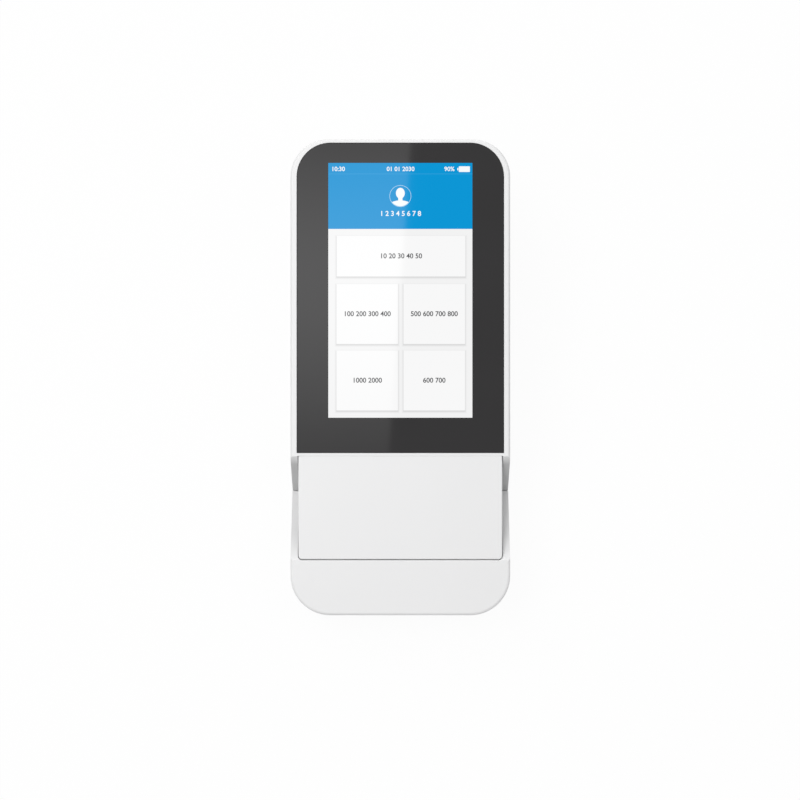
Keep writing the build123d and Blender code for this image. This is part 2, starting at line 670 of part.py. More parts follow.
# Door: flat panel with rounded edges, hinge barrel, skirts and stiffening ribs
PIN_REACH = 2.1           # each hinge pin runs into the barrel on both sides by this
MAGNET_R = 2.5
MAGNET_THICK = 1.4
MAGNET_X = 30.0
MAGNET_SET = 5.0          # from the door's front edge
STIFFENER_THICK = 1.2
STIFFENER_DROP = 1.6
STIFFENER_PITCH_X = 30.0
STIFFENER_PITCH_U = 14.2
STIFFENER_SET = 6.4       # the long ribs end this far from the door's ends
station_width = KNUCKLE_WIDTH + 2 * DOOR_GAP
pin_length = KNUCKLE_WIDTH + 2 * PIN_REACH
magnet_u = door_front + MAGNET_SET
magnet_points = [(-MAGNET_X, magnet_u), (MAGNET_X, magnet_u)]
with BuildPart() as door_panel:
    with BuildSketch(face):
        with Locations((0, door_mid)):
            Rectangle(door_width, DOOR_LENGTH)
    extrude(amount=-DOOR_THICK)
    fillet(door_panel.edges().filter_by(Axis(face.origin, face.z_dir)).group_by(Axis.Y)[0], DOOR_CORNER)
    free_edges = door_panel.faces().filter_by(face).sort_by(Axis.Z)[-1].edges().sort_by(Axis.Y)[:-1]
    fillet(free_edges, DOOR_EDGE)
    with BuildSketch(side.offset(-door_width / 2 + DOOR_EDGE)):
        with Locations((hinge_u, -HINGE_SET)):
            Circle(barrel_r)
        with Locations((hinge_u, WIDTH / 2)):
            Rectangle(WIDTH, WIDTH, mode=Mode.SUBTRACT)
    extrude(amount=door_width - 2 * DOOR_EDGE)
    add(door_skirts.part)
    with BuildSketch(face.offset(-DOOR_THICK)):
        with Locations((0, door_mid)):
            with GridLocations(0, STIFFENER_PITCH_U, 1, 2):
                Rectangle(door_width - SKIRT_THICK, STIFFENER_THICK)
            with GridLocations(STIFFENER_PITCH_X, 0, 2, 1):
                Rectangle(STIFFENER_THICK, DOOR_LENGTH - 2 * STIFFENER_SET)
    extrude(amount=-STIFFENER_DROP)
    for x in (-knuckle_x, knuckle_x):
        with BuildSketch(side.offset(x - station_width / 2)):
            with Locations((hinge_u, -HINGE_SET)):
                Circle(KNUCKLE_R + SEAM)
            with Locations((hinge_u, -HINGE_SET - WIDTH / 2)):
                Rectangle(2 * (KNUCKLE_R + SEAM), WIDTH)
            with Locations((hinge_u + WIDTH / 2, -HINGE_SET + KNUCKLE_R - WIDTH / 2)):
                Rectangle(WIDTH, WIDTH)
        extrude(amount=station_width, mode=Mode.SUBTRACT)
        with BuildSketch(side.offset(x - pin_length / 2)):
            with Locations((hinge_u, -HINGE_SET)):
                Circle(HINGE_PIN_R)
        extrude(amount=pin_length, mode=Mode.SUBTRACT)
    with BuildSketch(face.offset(-DOOR_THICK + MAGNET_THICK / 2)):
        with Locations(*magnet_points):
            Circle(MAGNET_R)
    extrude(amount=-2 * MAGNET_THICK, mode=Mode.SUBTRACT)
write_piece(door_panel, "door_panel")

# Magnets in the door's front corners
with BuildPart() as door_magnets:
    with BuildSketch(face.offset(-DOOR_THICK + MAGNET_THICK / 2)):
        with Locations(*magnet_points):
            Circle(MAGNET_R)
    extrude(amount=-MAGNET_THICK)
write_piece(door_magnets, "door_magnets")

# Hinge pins, pressed into the door's barrel
with BuildPart() as hinge_pins:
    for x in (-knuckle_x, knuckle_x):
        with BuildSketch(side.offset(x - pin_length / 2)):
            with Locations((hinge_u, -HINGE_SET)):
                Circle(HINGE_PIN_R)
        extrude(amount=pin_length)
write_piece(hinge_pins, "hinge_pins")

# Hinge brackets: a knuckle on a bent arm, with a foot flat against the rear of the rib
with BuildPart() as hinge_brackets:
    for x in (-knuckle_x, knuckle_x):
        with BuildSketch(side.offset(x - KNUCKLE_WIDTH / 2)):
            with Locations((hinge_u, -HINGE_SET)):
                Circle(KNUCKLE_R)
            with BuildLine():
                Polyline(
                    (hinge_u - KNUCKLE_R, -HINGE_SET),
                    (hinge_u - KNUCKLE_R, arm_top - ARM_THICK),
                    (rib_rear, arm_top - ARM_THICK),
                    (rib_rear, arm_top),
                    (hinge_u + KNUCKLE_R, arm_top),
                    (hinge_u + KNUCKLE_R, -HINGE_SET),
                    close=True,
                )
            make_face()
            with Locations((hinge_u, -HINGE_SET)):
                Circle(HINGE_PIN_R + RUN_FIT, mode=Mode.SUBTRACT)
        extrude(amount=KNUCKLE_WIDTH)
        with BuildSketch(side.offset(x - FOOT_WIDTH / 2)):
            with Locations((rib_rear + BRACKET_FOOT / 2, -(foot_top + foot_low) / 2)):
                Rectangle(BRACKET_FOOT, foot_low - foot_top)
        extrude(amount=FOOT_WIDTH)
write_piece(hinge_brackets, "hinge_brackets")

# Strip deck: the bay's floor with its guides and side walls, and the wall with the strip mouth
FASCIA_THICK = 2.0
GUIDE_HEIGHT = 2.6
GUIDE_WIDTH = 2.0
GUIDE_LENGTH = 22.0
GUIDE_CORNER = 0.9
UPSTAND_SET = 8.0         # the side walls start this far behind the deck's front
fascia_top = height_under_face(deck_rear, RIB_DEPTH) - DOOR_GAP
fascia_front = deck_rear - FASCIA_THICK
guide_half = STRIP_WIDTH / 2 + STRIP_CLEAR
with BuildPart() as strip_deck:
    with BuildSketch(Plane.XY.offset(deck_z)):
        with Locations((0, deck_mid)):
            Rectangle(deck_width, deck_length)
    extrude(amount=DECK_THICK)
    with BuildSketch(Plane.XY.offset(STRIP_Z)):
        with Locations((0, deck_rear - FASCIA_THICK / 2)):
            Rectangle(deck_width, FASCIA_THICK)
    extrude(amount=fascia_top - STRIP_Z)
    with BuildSketch(Plane.XY.offset(STRIP_Z)):
        with Locations((0, deck_mid + UPSTAND_SET / 2)):
            with GridLocations(deck_width - FASCIA_THICK, 0, 2, 1):
                Rectangle(FASCIA_THICK, deck_length - UPSTAND_SET)
    extrude(amount=DECK_UPSTAND)
    with BuildSketch(Plane.XY.offset(STRIP_Z)):
        with Locations((0, fascia_front - GUIDE_LENGTH / 2)):
            with GridLocations(2 * guide_half + GUIDE_WIDTH, 0, 2, 1):
                RectangleRounded(GUIDE_WIDTH, GUIDE_LENGTH, GUIDE_CORNER)
    extrude(amount=GUIDE_HEIGHT)
    with BuildSketch(Plane.XZ.offset(-deck_rear)):
        with Locations((0, STRIP_Z + MOUTH_HEIGHT / 2)):
            Rectangle(MOUTH_WIDTH, MOUTH_HEIGHT)
    extrude(amount=2 * FASCIA_THICK, mode=Mode.SUBTRACT)
    fascia_edges = strip_deck.edges().filter_by_position(Axis.Y, fascia_front, fascia_front)
    mouth_edges = fascia_edges.filter_by_position(
        Axis.Z, STRIP_Z + MOUTH_HEIGHT / 3, STRIP_Z + MOUTH_HEIGHT
    ).filter_by(lambda edge: abs(edge.center().X) <= MOUTH_WIDTH / 2 + SEAM)
    chamfer(mouth_edges, MOUTH_LEAD)
    with BuildSketch(Plane.XY.offset(deck_z)):
        with Locations(*deck_posts):
            Circle(SCREW_HOLE_R)
    extrude(amount=DECK_THICK, mode=Mode.SUBTRACT)
write_piece(strip_deck, "strip_deck")

# Screws that hold the deck to its posts
with BuildPart() as deck_screws:
    with BuildSketch(Plane.XY.offset(STRIP_Z)):
        with Locations(*deck_posts):
            Circle(SCREW_HEAD_R)
    extrude(amount=SCREW_HEAD)
    with BuildSketch(Plane.XY.offset(STRIP_Z)):
        with Locations(*deck_posts):
            Circle(SCREW_R)
    extrude(amount=-DECK_THICK)
write_piece(deck_screws, "deck_screws")

# Catch plates: bent steel on the wall in front of the bay, under the door's magnets
CATCH_LENGTH = 8.0
CATCH_RIM = 2.0           # plate beyond the magnet on each side
CATCH_LEG = 3.5
CATCH_THICK = 1.0
CATCH_CORNER = 0.9
catch_top = DOOR_THICK + MAGNET_THICK / 2 + PART_GAP
catch_width = 2 * (MAGNET_R + CATCH_RIM)
with BuildPart() as catch_plates:
    with BuildSketch(face.offset(-catch_top)):
        with Locations((0, bay_front + CATCH_LENGTH / 2)):
            with GridLocations(2 * MAGNET_X, 0, 2, 1):
                RectangleRounded(catch_width, CATCH_LENGTH, CATCH_CORNER)
    extrude(amount=-CATCH_THICK)
    with BuildSketch(face.offset(-catch_top)):
        with Locations((0, bay_front + CATCH_THICK / 2)):
            with GridLocations(2 * MAGNET_X, 0, 2, 1):
                Rectangle(catch_width, CATCH_THICK)
    extrude(amount=-CATCH_LEG)
write_piece(catch_plates, "catch_plates")

# Reader frame: floor plate, two side plates, bearing blocks and a bridge plate over the strip
SCREW_AXIS_Z = 12.4       # lead screw above the bench
BRIDGE_Z = 28.4
BLOCK_SIDE = 4.0          # block beyond the guide rods
BLOCK_RISE = 4.0          # and above the lead screw
SCREW_SHAFT_R = 1.5
ROD_R = 1.5
ROD_X = 10.5
CLAMP_X = 18.0            # clamp posts
CLAMP_POST_R = 1.25
PLUNGER_R = 2.0
CLAMP_SET = 35.0          # from the front of the reader frame
CLAMP_MARGIN = 14.0       # bridge plate behind the clamp's middle
OPTICS_SET = 12.0         # from the front of the reader frame
OPTICS_WIDTH = 20.0
OPTICS_LENGTH = 14.0
FLOOR_WINDOW_WIDTH = 28.0
FLOOR_WINDOW_LENGTH = 34.8
SIDE_SLOT_LENGTH = 23.2
SIDE_SLOT_HEIGHT = 5.0
clamp_y = frame_front + CLAMP_SET
optics_y = frame_front + OPTICS_SET
bridge_rear = clamp_y + CLAMP_MARGIN
bridge_top = BRIDGE_Z + FRAME_THICK
with BuildPart() as reader_frame:
    with BuildSketch(Plane.XY.offset(FRAME_Z)):
        with Locations((0, frame_mid)):
            RectangleRounded(FRAME_WIDTH, frame_length, SHEET_CORNER)
            Rectangle(FLOOR_WINDOW_WIDTH, FLOOR_WINDOW_LENGTH, mode=Mode.SUBTRACT)
        with Locations(*frame_posts):
            Circle(SCREW_HOLE_R, mode=Mode.SUBTRACT)
    extrude(amount=FRAME_THICK)
    with BuildSketch(Plane.XY.offset(FRAME_Z)):
        with Locations((0, (frame_front + bridge_rear) / 2)):
            with GridLocations(FRAME_WIDTH - FRAME_THICK, 0, 2, 1):
                Rectangle(FRAME_THICK, bridge_rear - frame_front)
    extrude(amount=BRIDGE_Z - FRAME_Z)
    with BuildSketch(Plane.YZ.offset(-FRAME_WIDTH)):
        with Locations((frame_mid, (STRIP_Z + FRAME_Z) / 2)):
            SlotOverall(SIDE_SLOT_LENGTH, SIDE_SLOT_HEIGHT)
    extrude(amount=2 * FRAME_WIDTH, mode=Mode.SUBTRACT)
    with BuildSketch(Plane.XY.offset(FRAME_Z)):
        with Locations((0, frame_front + BLOCK_THICK / 2), (0, frame_rear - BLOCK_THICK / 2)):
            Rectangle(2 * (ROD_X + BLOCK_SIDE), BLOCK_THICK)
    extrude(amount=SCREW_AXIS_Z + BLOCK_RISE - FRAME_Z)
    with BuildSketch(Plane.XY.offset(BRIDGE_Z)):
        with Locations((0, (frame_front + bridge_rear) / 2)):
            RectangleRounded(FRAME_WIDTH, bridge_rear - frame_front, SHEET_CORNER)
        with Locations((0, optics_y)):
            Rectangle(OPTICS_WIDTH + 2 * SEAM, OPTICS_LENGTH + 2 * SEAM, mode=Mode.SUBTRACT)
        with Locations((0, clamp_y)):
            Circle(PLUNGER_R + RUN_FIT, mode=Mode.SUBTRACT)
            with GridLocations(2 * CLAMP_X, 0, 2, 1):
                Circle(CLAMP_POST_R + RUN_FIT, mode=Mode.SUBTRACT)
    extrude(amount=FRAME_THICK)
    with BuildSketch(Plane.XZ.offset(-frame_rear)):
        with Locations((0, SCREW_AXIS_Z)):
            Circle(SCREW_SHAFT_R + RUN_FIT)
            with GridLocations(2 * ROD_X, 0, 2, 1):
                Circle(ROD_R)
    extrude(amount=frame_length, mode=Mode.SUBTRACT)
write_piece(reader_frame, "reader_frame")

# Screws that hold the reader frame to its posts
with BuildPart() as frame_screws:
    with BuildSketch(Plane.XY.offset(FRAME_Z + FRAME_THICK)):
        with Locations(*frame_posts):
            Circle(SCREW_HEAD_R)
    extrude(amount=SCREW_HEAD)
    with BuildSketch(Plane.XY.offset(FRAME_Z + FRAME_THICK)):
        with Locations(*frame_posts):
            Circle(SCREW_R)
    extrude(amount=-FRAME_THICK)
write_piece(frame_screws, "frame_screws")

# Strip guide: a plate between the side plates, with rails along the strip and a heater window
HEATER_WIDTH = 22.0
HEATER_LENGTH = 24.0
HEATER_THICK = 2.6
HEATER_DROP = 0.1         # the heater lies this far under the strip
RAIL_HEIGHT = 2.4
RAIL_WIDTH = 3.5
GUIDE_PLATE = 2.5
GUIDE_MARGIN = 16.0       # guide plate behind the clamp's middle
guide_front = deck_rear + SEAM
guide_rear = clamp_y + GUIDE_MARGIN
with BuildPart() as strip_guide:
    with BuildSketch(Plane.XY.offset(STRIP_Z - GUIDE_PLATE)):
        with Locations((0, (guide_front + guide_rear) / 2)):
            Rectangle(FRAME_WIDTH - 2 * (FRAME_THICK + SEAM), guide_rear - guide_front)
        with Locations((0, clamp_y)):
            Rectangle(HEATER_WIDTH + 2 * SEAM, HEATER_LENGTH + 2 * SEAM, mode=Mode.SUBTRACT)
    extrude(amount=GUIDE_PLATE)
    with BuildSketch(Plane.XY.offset(STRIP_Z)):
        with Locations((0, (guide_front + guide_rear) / 2)):
            with GridLocations(2 * guide_half + RAIL_WIDTH, 0, 2, 1):
                Rectangle(RAIL_WIDTH, guide_rear - guide_front)
    extrude(amount=RAIL_HEIGHT)
write_piece(strip_guide, "strip_guide")

# Heater block in the guide's window
with BuildPart() as lower_heater:
    with BuildSketch(Plane.XY.offset(STRIP_Z - HEATER_DROP)):
        with Locations((0, clamp_y)):
            Rectangle(HEATER_WIDTH, HEATER_LENGTH)
    extrude(amount=-HEATER_THICK)
write_piece(lower_heater, "lower_heater")

# Clamp plate with the solenoid's plunger
CLAMP_STROKE = 1.5
CLAMP_THICK = 2.6
CLAMP_PAD = 1.3
CLAMP_SIDE = 3.0          # plate beyond the clamp posts
CLAMP_END = 1.0           # plate beyond the heater's ends
PLUNGER_RISE = 4.0        # above the bridge plate
HEAD_R = 2.4
HEAD_THICK = 1.0
SPRING_SPACE = 4.2        # between the bridge plate and the posts' heads
pad_low = STRIP_Z + STRIP_THICK + CLAMP_STROKE
clamp_low = pad_low + CLAMP_PAD
head_z = bridge_top + SPRING_SPACE
with BuildPart() as clamp_plate:
    with BuildSketch(Plane.XY.offset(clamp_low)):
        with Locations((0, clamp_y)):
            RectangleRounded(2 * (CLAMP_X + CLAMP_SIDE), HEATER_LENGTH + 2 * CLAMP_END, SHEET_CORNER)
    extrude(amount=CLAMP_THICK)
    with BuildSketch(Plane.XY.offset(clamp_low)):
        with Locations((0, clamp_y)):
            Circle(PLUNGER_R)
    extrude(amount=bridge_top + PLUNGER_RISE - clamp_low)
    with BuildSketch(Plane.XY.offset(clamp_low)):
        with Locations((0, clamp_y)):
            with GridLocations(2 * CLAMP_X, 0, 2, 1):
                Circle(CLAMP_POST_R)
    extrude(amount=CLAMP_THICK, mode=Mode.SUBTRACT)
write_piece(clamp_plate, "clamp_plate")

# Heater pad under the clamp plate
with BuildPart() as clamp_heater:
    with BuildSketch(Plane.XY.offset(pad_low)):
        with Locations((0, clamp_y)):
            Rectangle(HEATER_WIDTH - CLAMP_END, HEATER_LENGTH - CLAMP_END)
    extrude(amount=CLAMP_PAD)
write_piece(clamp_heater, "clamp_heater")

# Clamp posts with the heads that the springs push against
with BuildPart() as clamp_posts:
    with BuildSketch(Plane.XY.offset(clamp_low)):
        with Locations((0, clamp_y)):
            with GridLocations(2 * CLAMP_X, 0, 2, 1):
                Circle(CLAMP_POST_R)
    extrude(amount=head_z - clamp_low)
    with BuildSketch(Plane.XY.offset(head_z)):
        with Locations((0, clamp_y)):
            with GridLocations(2 * CLAMP_X, 0, 2, 1):
                Circle(HEAD_R)
    extrude(amount=HEAD_THICK)
write_piece(clamp_posts, "clamp_posts")

# Springs that lift the clamp
SPRING_WIRE_R = 0.25
SPRING_R = 1.9
SPRING_TURNS = 3.5
SPRING_SIDES = 6
spring_low = bridge_top + SPRING_WIRE_R
spring_rise = SPRING_SPACE - 2 * SPRING_WIRE_R
spring_pitch = spring_rise / SPRING_TURNS
with BuildPart() as clamp_springs:
    for x in (-CLAMP_X, CLAMP_X):
        with BuildLine() as coil:
            Helix(spring_pitch, spring_rise, SPRING_R, center=(x, clamp_y, spring_low))
        with BuildSketch(Plane(origin=coil.line @ 0, z_dir=coil.line % 0)):
            RegularPolygon(SPRING_WIRE_R, SPRING_SIDES)
        sweep(path=coil.line)
print("spring gap to itself", spring_pitch - 2 * SPRING_WIRE_R)
write_piece(clamp_springs, "clamp_springs")

# Solenoid that pulls the clamp down
SOLENOID_WIDTH = 16.0
SOLENOID_LENGTH = 13.0
SOLENOID_HEIGHT = 6.6
SOLENOID_CAP = 1.6
SOLENOID_CORNER = 1.5
with BuildPart() as clamp_solenoid:
    with BuildSketch(Plane.XY.offset(bridge_top)):
        with Locations((0, clamp_y)):
            RectangleRounded(SOLENOID_WIDTH, SOLENOID_LENGTH, SOLENOID_CORNER)
    extrude(amount=SOLENOID_HEIGHT)
    with BuildSketch(Plane.XY.offset(bridge_top)):
        with Locations((0, clamp_y)):
            Circle(PLUNGER_R + RUN_FIT)
    extrude(amount=SOLENOID_HEIGHT - SOLENOID_CAP, mode=Mode.SUBTRACT)
write_piece(clamp_solenoid, "clamp_solenoid")

# Optics housing with two light channels over the strip
LENS_R = 3.0
LENS_THICK = 1.8
LENS_PITCH = 9.0
LENS_SET = 0.4            # lens above the channel's end
LAMP_R = 2.4
LAMP_LENGTH = 1.5
FLANGE_THICK = 1.2
FLANGE_SIDE = 3.0
FLANGE_END = 1.5
OPTICS_LIFT = 1.2         # housing above the strip rails
optics_low = STRIP_Z + RAIL_HEIGHT + OPTICS_LIFT
with BuildPart() as optics_housing:
    with BuildSketch(Plane.XY.offset(optics_low)):
        with Locations((0, optics_y)):
            Rectangle(OPTICS_WIDTH, OPTICS_LENGTH)
    extrude(amount=bridge_top - optics_low)
    with BuildSketch(Plane.XY.offset(bridge_top)):
        with Locations((0, optics_y)):
            RectangleRounded(
                OPTICS_WIDTH + 2 * FLANGE_SIDE, OPTICS_LENGTH + 2 * FLANGE_END, SHEET_CORNER
            )
    extrude(amount=FLANGE_THICK)
    with BuildSketch(Plane.XY.offset(optics_low)):
        with Locations((0, optics_y)):
            with GridLocations(LENS_PITCH, 0, 2, 1):
                Circle(LENS_R)
    extrude(amount=HEIGHT, mode=Mode.SUBTRACT)
write_piece(optics_housing, "optics_housing")

# Lenses at the lower ends of the channels
with BuildPart() as optics_lenses:
    with BuildSketch(Plane.XY.offset(optics_low + LENS_SET)):
        with Locations((0, optics_y)):
            with GridLocations(LENS_PITCH, 0, 2, 1):
                Circle(LENS_R)
    extrude(amount=LENS_THICK)
write_piece(optics_lenses, "optics_lenses")

# Optics board with a lamp and a sensor that reach into the channels
OPTICS_BOARD_SIDE = 1.0
OPTICS_BOARD_THICK = 1.0
with BuildPart() as optics_board:
    with BuildSketch(Plane.XY.offset(bridge_top + FLANGE_THICK)):
        with Locations((0, optics_y)):
            Rectangle(OPTICS_WIDTH + 2 * OPTICS_BOARD_SIDE, OPTICS_LENGTH)
    extrude(amount=OPTICS_BOARD_THICK)
    with BuildSketch(Plane.XY.offset(bridge_top + FLANGE_THICK)):
        with Locations((0, optics_y)):
            with GridLocations(LENS_PITCH, 0, 2, 1):
                Circle(LAMP_R)
    extrude(amount=-LAMP_LENGTH)
write_piece(optics_board, "optics_board")

# Magnet carriage on two rods, driven by the lead screw
CARRIAGE_HEIGHT = 6.0
CARRIAGE_SIDE = 3.5       # carriage beyond the guide rods
CARRIAGE_CORNER = 1.5
CARRIAGE_MAGNET_R = 2.5
CARRIAGE_MAGNET_PITCH = 10.0
MAGNET_CLEAR = 0.5        # between the magnets and the heater
NUT_FIT = 0.06
carriage_y = frame_front + BLOCK_THICK + CARRIAGE_SET + CARRIAGE_LENGTH / 2
carriage_low = SCREW_AXIS_Z - CARRIAGE_HEIGHT / 2
carriage_top = SCREW_AXIS_Z + CARRIAGE_HEIGHT / 2
magnet_top = STRIP_Z - HEATER_DROP - HEATER_THICK - MAGNET_CLEAR
with BuildPart() as magnet_carriage:
    with BuildSketch(Plane.XY.offset(carriage_low)):
        with Locations((0, carriage_y)):
            RectangleRounded(2 * (ROD_X + CARRIAGE_SIDE), CARRIAGE_LENGTH, CARRIAGE_CORNER)
    extrude(amount=CARRIAGE_HEIGHT)
    with BuildSketch(Plane.XZ.offset(-(carriage_y + CARRIAGE_LENGTH))):
        with Locations((0, SCREW_AXIS_Z)):
            Circle(SCREW_SHAFT_R + NUT_FIT)
            with GridLocations(2 * ROD_X, 0, 2, 1):
                Circle(ROD_R + NUT_FIT)
    extrude(amount=2 * CARRIAGE_LENGTH, mode=Mode.SUBTRACT)
write_piece(magnet_carriage, "magnet_carriage")

# Magnets on the carriage
with BuildPart() as carriage_magnets:
    with BuildSketch(Plane.XY.offset(carriage_top)):
        with Locations((0, carriage_y)):
            with GridLocations(CARRIAGE_MAGNET_PITCH, 0, 2, 1):
                Circle(CARRIAGE_MAGNET_R)
    extrude(amount=magnet_top - carriage_top)
write_piece(carriage_magnets, "carriage_magnets")

# Guide rods between the bearing blocks
with BuildPart() as guide_rods:
    with BuildSketch(Plane.XZ.offset(-frame_rear)):
        with Locations((0, SCREW_AXIS_Z)):
            with GridLocations(2 * ROD_X, 0, 2, 1):
                Circle(ROD_R)
    extrude(amount=frame_length)
write_piece(guide_rods, "guide_rods")

# Lead screw, with its end in the motor
SHAFT_SEAT = 4.0
shaft_end = frame_rear + SHAFT_SEAT - SEAM
with BuildPart() as lead_screw:
    with BuildSketch(Plane.XZ.offset(-shaft_end)):
        with Locations((0, SCREW_AXIS_Z)):
            Circle(SCREW_SHAFT_R)
    extrude(amount=shaft_end - frame_front)
write_piece(lead_screw, "lead_screw")

# Stepper motor with its flange on the rear bearing block
MOTOR_R = 7.5
MOTOR_LENGTH = 12.0
MOTOR_EAR = 3.5           # flange beyond the motor on each side
MOTOR_EAR_HEIGHT = 6.0
MOTOR_EAR_THICK = 1.0
with BuildPart() as stepper_motor:
    with BuildSketch(Plane.XZ.offset(-frame_rear)):
        with Locations((0, SCREW_AXIS_Z)):
            Circle(MOTOR_R)
    extrude(amount=-MOTOR_LENGTH)
    with BuildSketch(Plane.XZ.offset(-frame_rear)):
        with Locations((0, SCREW_AXIS_Z)):
            SlotOverall(2 * (MOTOR_R + MOTOR_EAR), MOTOR_EAR_HEIGHT)
    extrude(amount=-MOTOR_EAR_THICK)
    with BuildSketch(Plane.XZ.offset(-frame_rear)):
        with Locations((0, SCREW_AXIS_Z)):
            Circle(SCREW_SHAFT_R + RUN_FIT)
    extrude(amount=-SHAFT_SEAT, mode=Mode.SUBTRACT)
write_piece(stepper_motor, "stepper_motor")

# Antenna board under the deck, for reading a strip lot's tag
ANTENNA_WIDTH = 46.0
ANTENNA_LENGTH = 30.0
ANTENNA_THICK = 1.0
with BuildPart() as antenna_board:
    with BuildSketch(Plane.XY.offset(deck_z)):
        with Locations((0, deck_mid)):
            RectangleRounded(ANTENNA_WIDTH, ANTENNA_LENGTH, SHEET_CORNER)
    extrude(amount=-ANTENNA_THICK)
write_piece(antenna_board, "antenna_board")

# Battery pack on the floor, between the motor and the input board
BATTERY_WIDTH = 58.0
BATTERY_HEIGHT = 19.0
BATTERY_CORNER = 3.0
BATTERY_EDGE = 1.0
BATTERY_FRONT_GAP = 1.0
BATTERY_REAR_GAP = 5.0
battery_front = frame_rear + MOTOR_LENGTH + BATTERY_FRONT_GAP
battery_rear = io_front - BATTERY_REAR_GAP
battery_y = (battery_front + battery_rear) / 2
with BuildPart() as battery_pack:
    with BuildSketch(Plane.XY.offset(floor_z)):
        with Locations((0, battery_y)):
            RectangleRounded(BATTERY_WIDTH, battery_rear - battery_front, BATTERY_CORNER)
    extrude(amount=BATTERY_HEIGHT)
    chamfer(battery_pack.faces().sort_by(Axis.Z)[-1].edges(), BATTERY_EDGE)
write_piece(battery_pack, "battery_pack")

# Steel strap over the battery pack, with its feet on the floor
STRAP_THICK = 1.2
STRAP_WIDTH = 12.0
STRAP_FOOT = 5.0
strap_width = BATTERY_WIDTH + 2 * STRAP_THICK
with BuildPart() as battery_strap:
    with BuildSketch(Plane.XZ.offset(-(battery_y + STRAP_WIDTH / 2))):
        with Locations((0, floor_z + (BATTERY_HEIGHT + STRAP_THICK) / 2)):
            Rectangle(strap_width, BATTERY_HEIGHT + STRAP_THICK)
        with Locations((0, floor_z + STRAP_THICK / 2)):
            Rectangle(strap_width + 2 * STRAP_FOOT, STRAP_THICK)
        with Locations((0, floor_z + BATTERY_HEIGHT / 2)):
            Rectangle(BATTERY_WIDTH, BATTERY_HEIGHT, mode=Mode.SUBTRACT)
    extrude(amount=STRAP_WIDTH)
write_piece(battery_strap, "battery_strap")

# Input board
with BuildPart() as io_board:
    with BuildSketch(Plane.XY.offset(BOARD_Z)):
        with Locations((0, io_rear - IO_LENGTH / 2)):
            Rectangle(IO_WIDTH, IO_LENGTH)
    extrude(amount=BOARD_THICK)
write_piece(io_board, "io_board")

# USB sockets: a sheet-metal shell, its tongue and a block on the board
USB_SET = 0.4             # behind the rear panel's surface
USB_SHEET = 0.35
USB_BACK = 1.0
TONGUE_INSET = 1.1        # tongue inside the shell's width
TONGUE_THICK = 1.8
TONGUE_RISE = 1.0
USB_BLOCK_SET = 4.5       # block behind the socket's mouth
port_rear = REAR_Y - REVEAL - USB_SET
with BuildPart() as usb_sockets:
    for x in USB_X:
        with BuildSketch(Plane.XZ.offset(-port_rear)):
            with Locations((x, PORT_Z)):
                Rectangle(USB_WIDTH, USB_HEIGHT)
        extrude(amount=USB_DEEP)
        with BuildSketch(Plane.XZ.offset(-port_rear)):
            with Locations((x, PORT_Z)):
                Rectangle(USB_WIDTH - 2 * USB_SHEET, USB_HEIGHT - 2 * USB_SHEET)
        extrude(amount=USB_DEEP - USB_BACK, mode=Mode.SUBTRACT)
        with BuildSketch(Plane.XZ.offset(-(port_rear - USB_BACK))):
            with Locations((x, PORT_Z + TONGUE_RISE)):
                Rectangle(USB_WIDTH - 2 * TONGUE_INSET, TONGUE_THICK)
        extrude(amount=USB_DEEP - USB_BACK)
        block_length = USB_DEEP - USB_BLOCK_SET
        with BuildSketch(Plane.XY.offset(io_top)):
            with Locations((x, port_rear - USB_BLOCK_SET - block_length / 2)):
                Rectangle(USB_WIDTH - 2 * TONGUE_INSET, block_length)
        extrude(amount=PORT_Z - USB_HEIGHT / 2 - io_top)
write_piece(usb_sockets, "usb_sockets")

# Power inlet: a block on the board, a round nose in the rear wall and a centre pin
INLET_BORE_R = 3.1
INLET_PIN_R = 1.0
INLET_WIDTH = 10.0
INLET_LENGTH = 13.0
INLET_RISE = 5.0          # block above the ports' level
INLET_DEEP = 13.0         # bore, from the rear panel
PIN_SET = 2.0             # pin behind the rear panel
inlet_face = rear_inside - SEAM
with BuildPart() as power_inlet:
    with BuildSketch(Plane.XY.offset(io_top)):
        with Locations((INLET_X, inlet_face - INLET_LENGTH / 2)):
            Rectangle(INLET_WIDTH, INLET_LENGTH)
    extrude(amount=PORT_Z - io_top + INLET_RISE)
    with BuildSketch(Plane.XZ.offset(-inlet_face)):
        with Locations((INLET_X, PORT_Z)):
            Circle(INLET_R - SEAM)
    extrude(amount=-(WALL - SEAM))
    with BuildSketch(Plane.XZ.offset(-REAR_Y)):
        with Locations((INLET_X, PORT_Z)):
            Circle(INLET_BORE_R)
    extrude(amount=INLET_DEEP, mode=Mode.SUBTRACT)
    with BuildSketch(Plane.XZ.offset(-(REAR_Y - PIN_SET))):
        with Locations((INLET_X, PORT_Z)):
            Circle(INLET_PIN_R)
    extrude(amount=INLET_DEEP)
write_piece(power_inlet, "power_inlet")

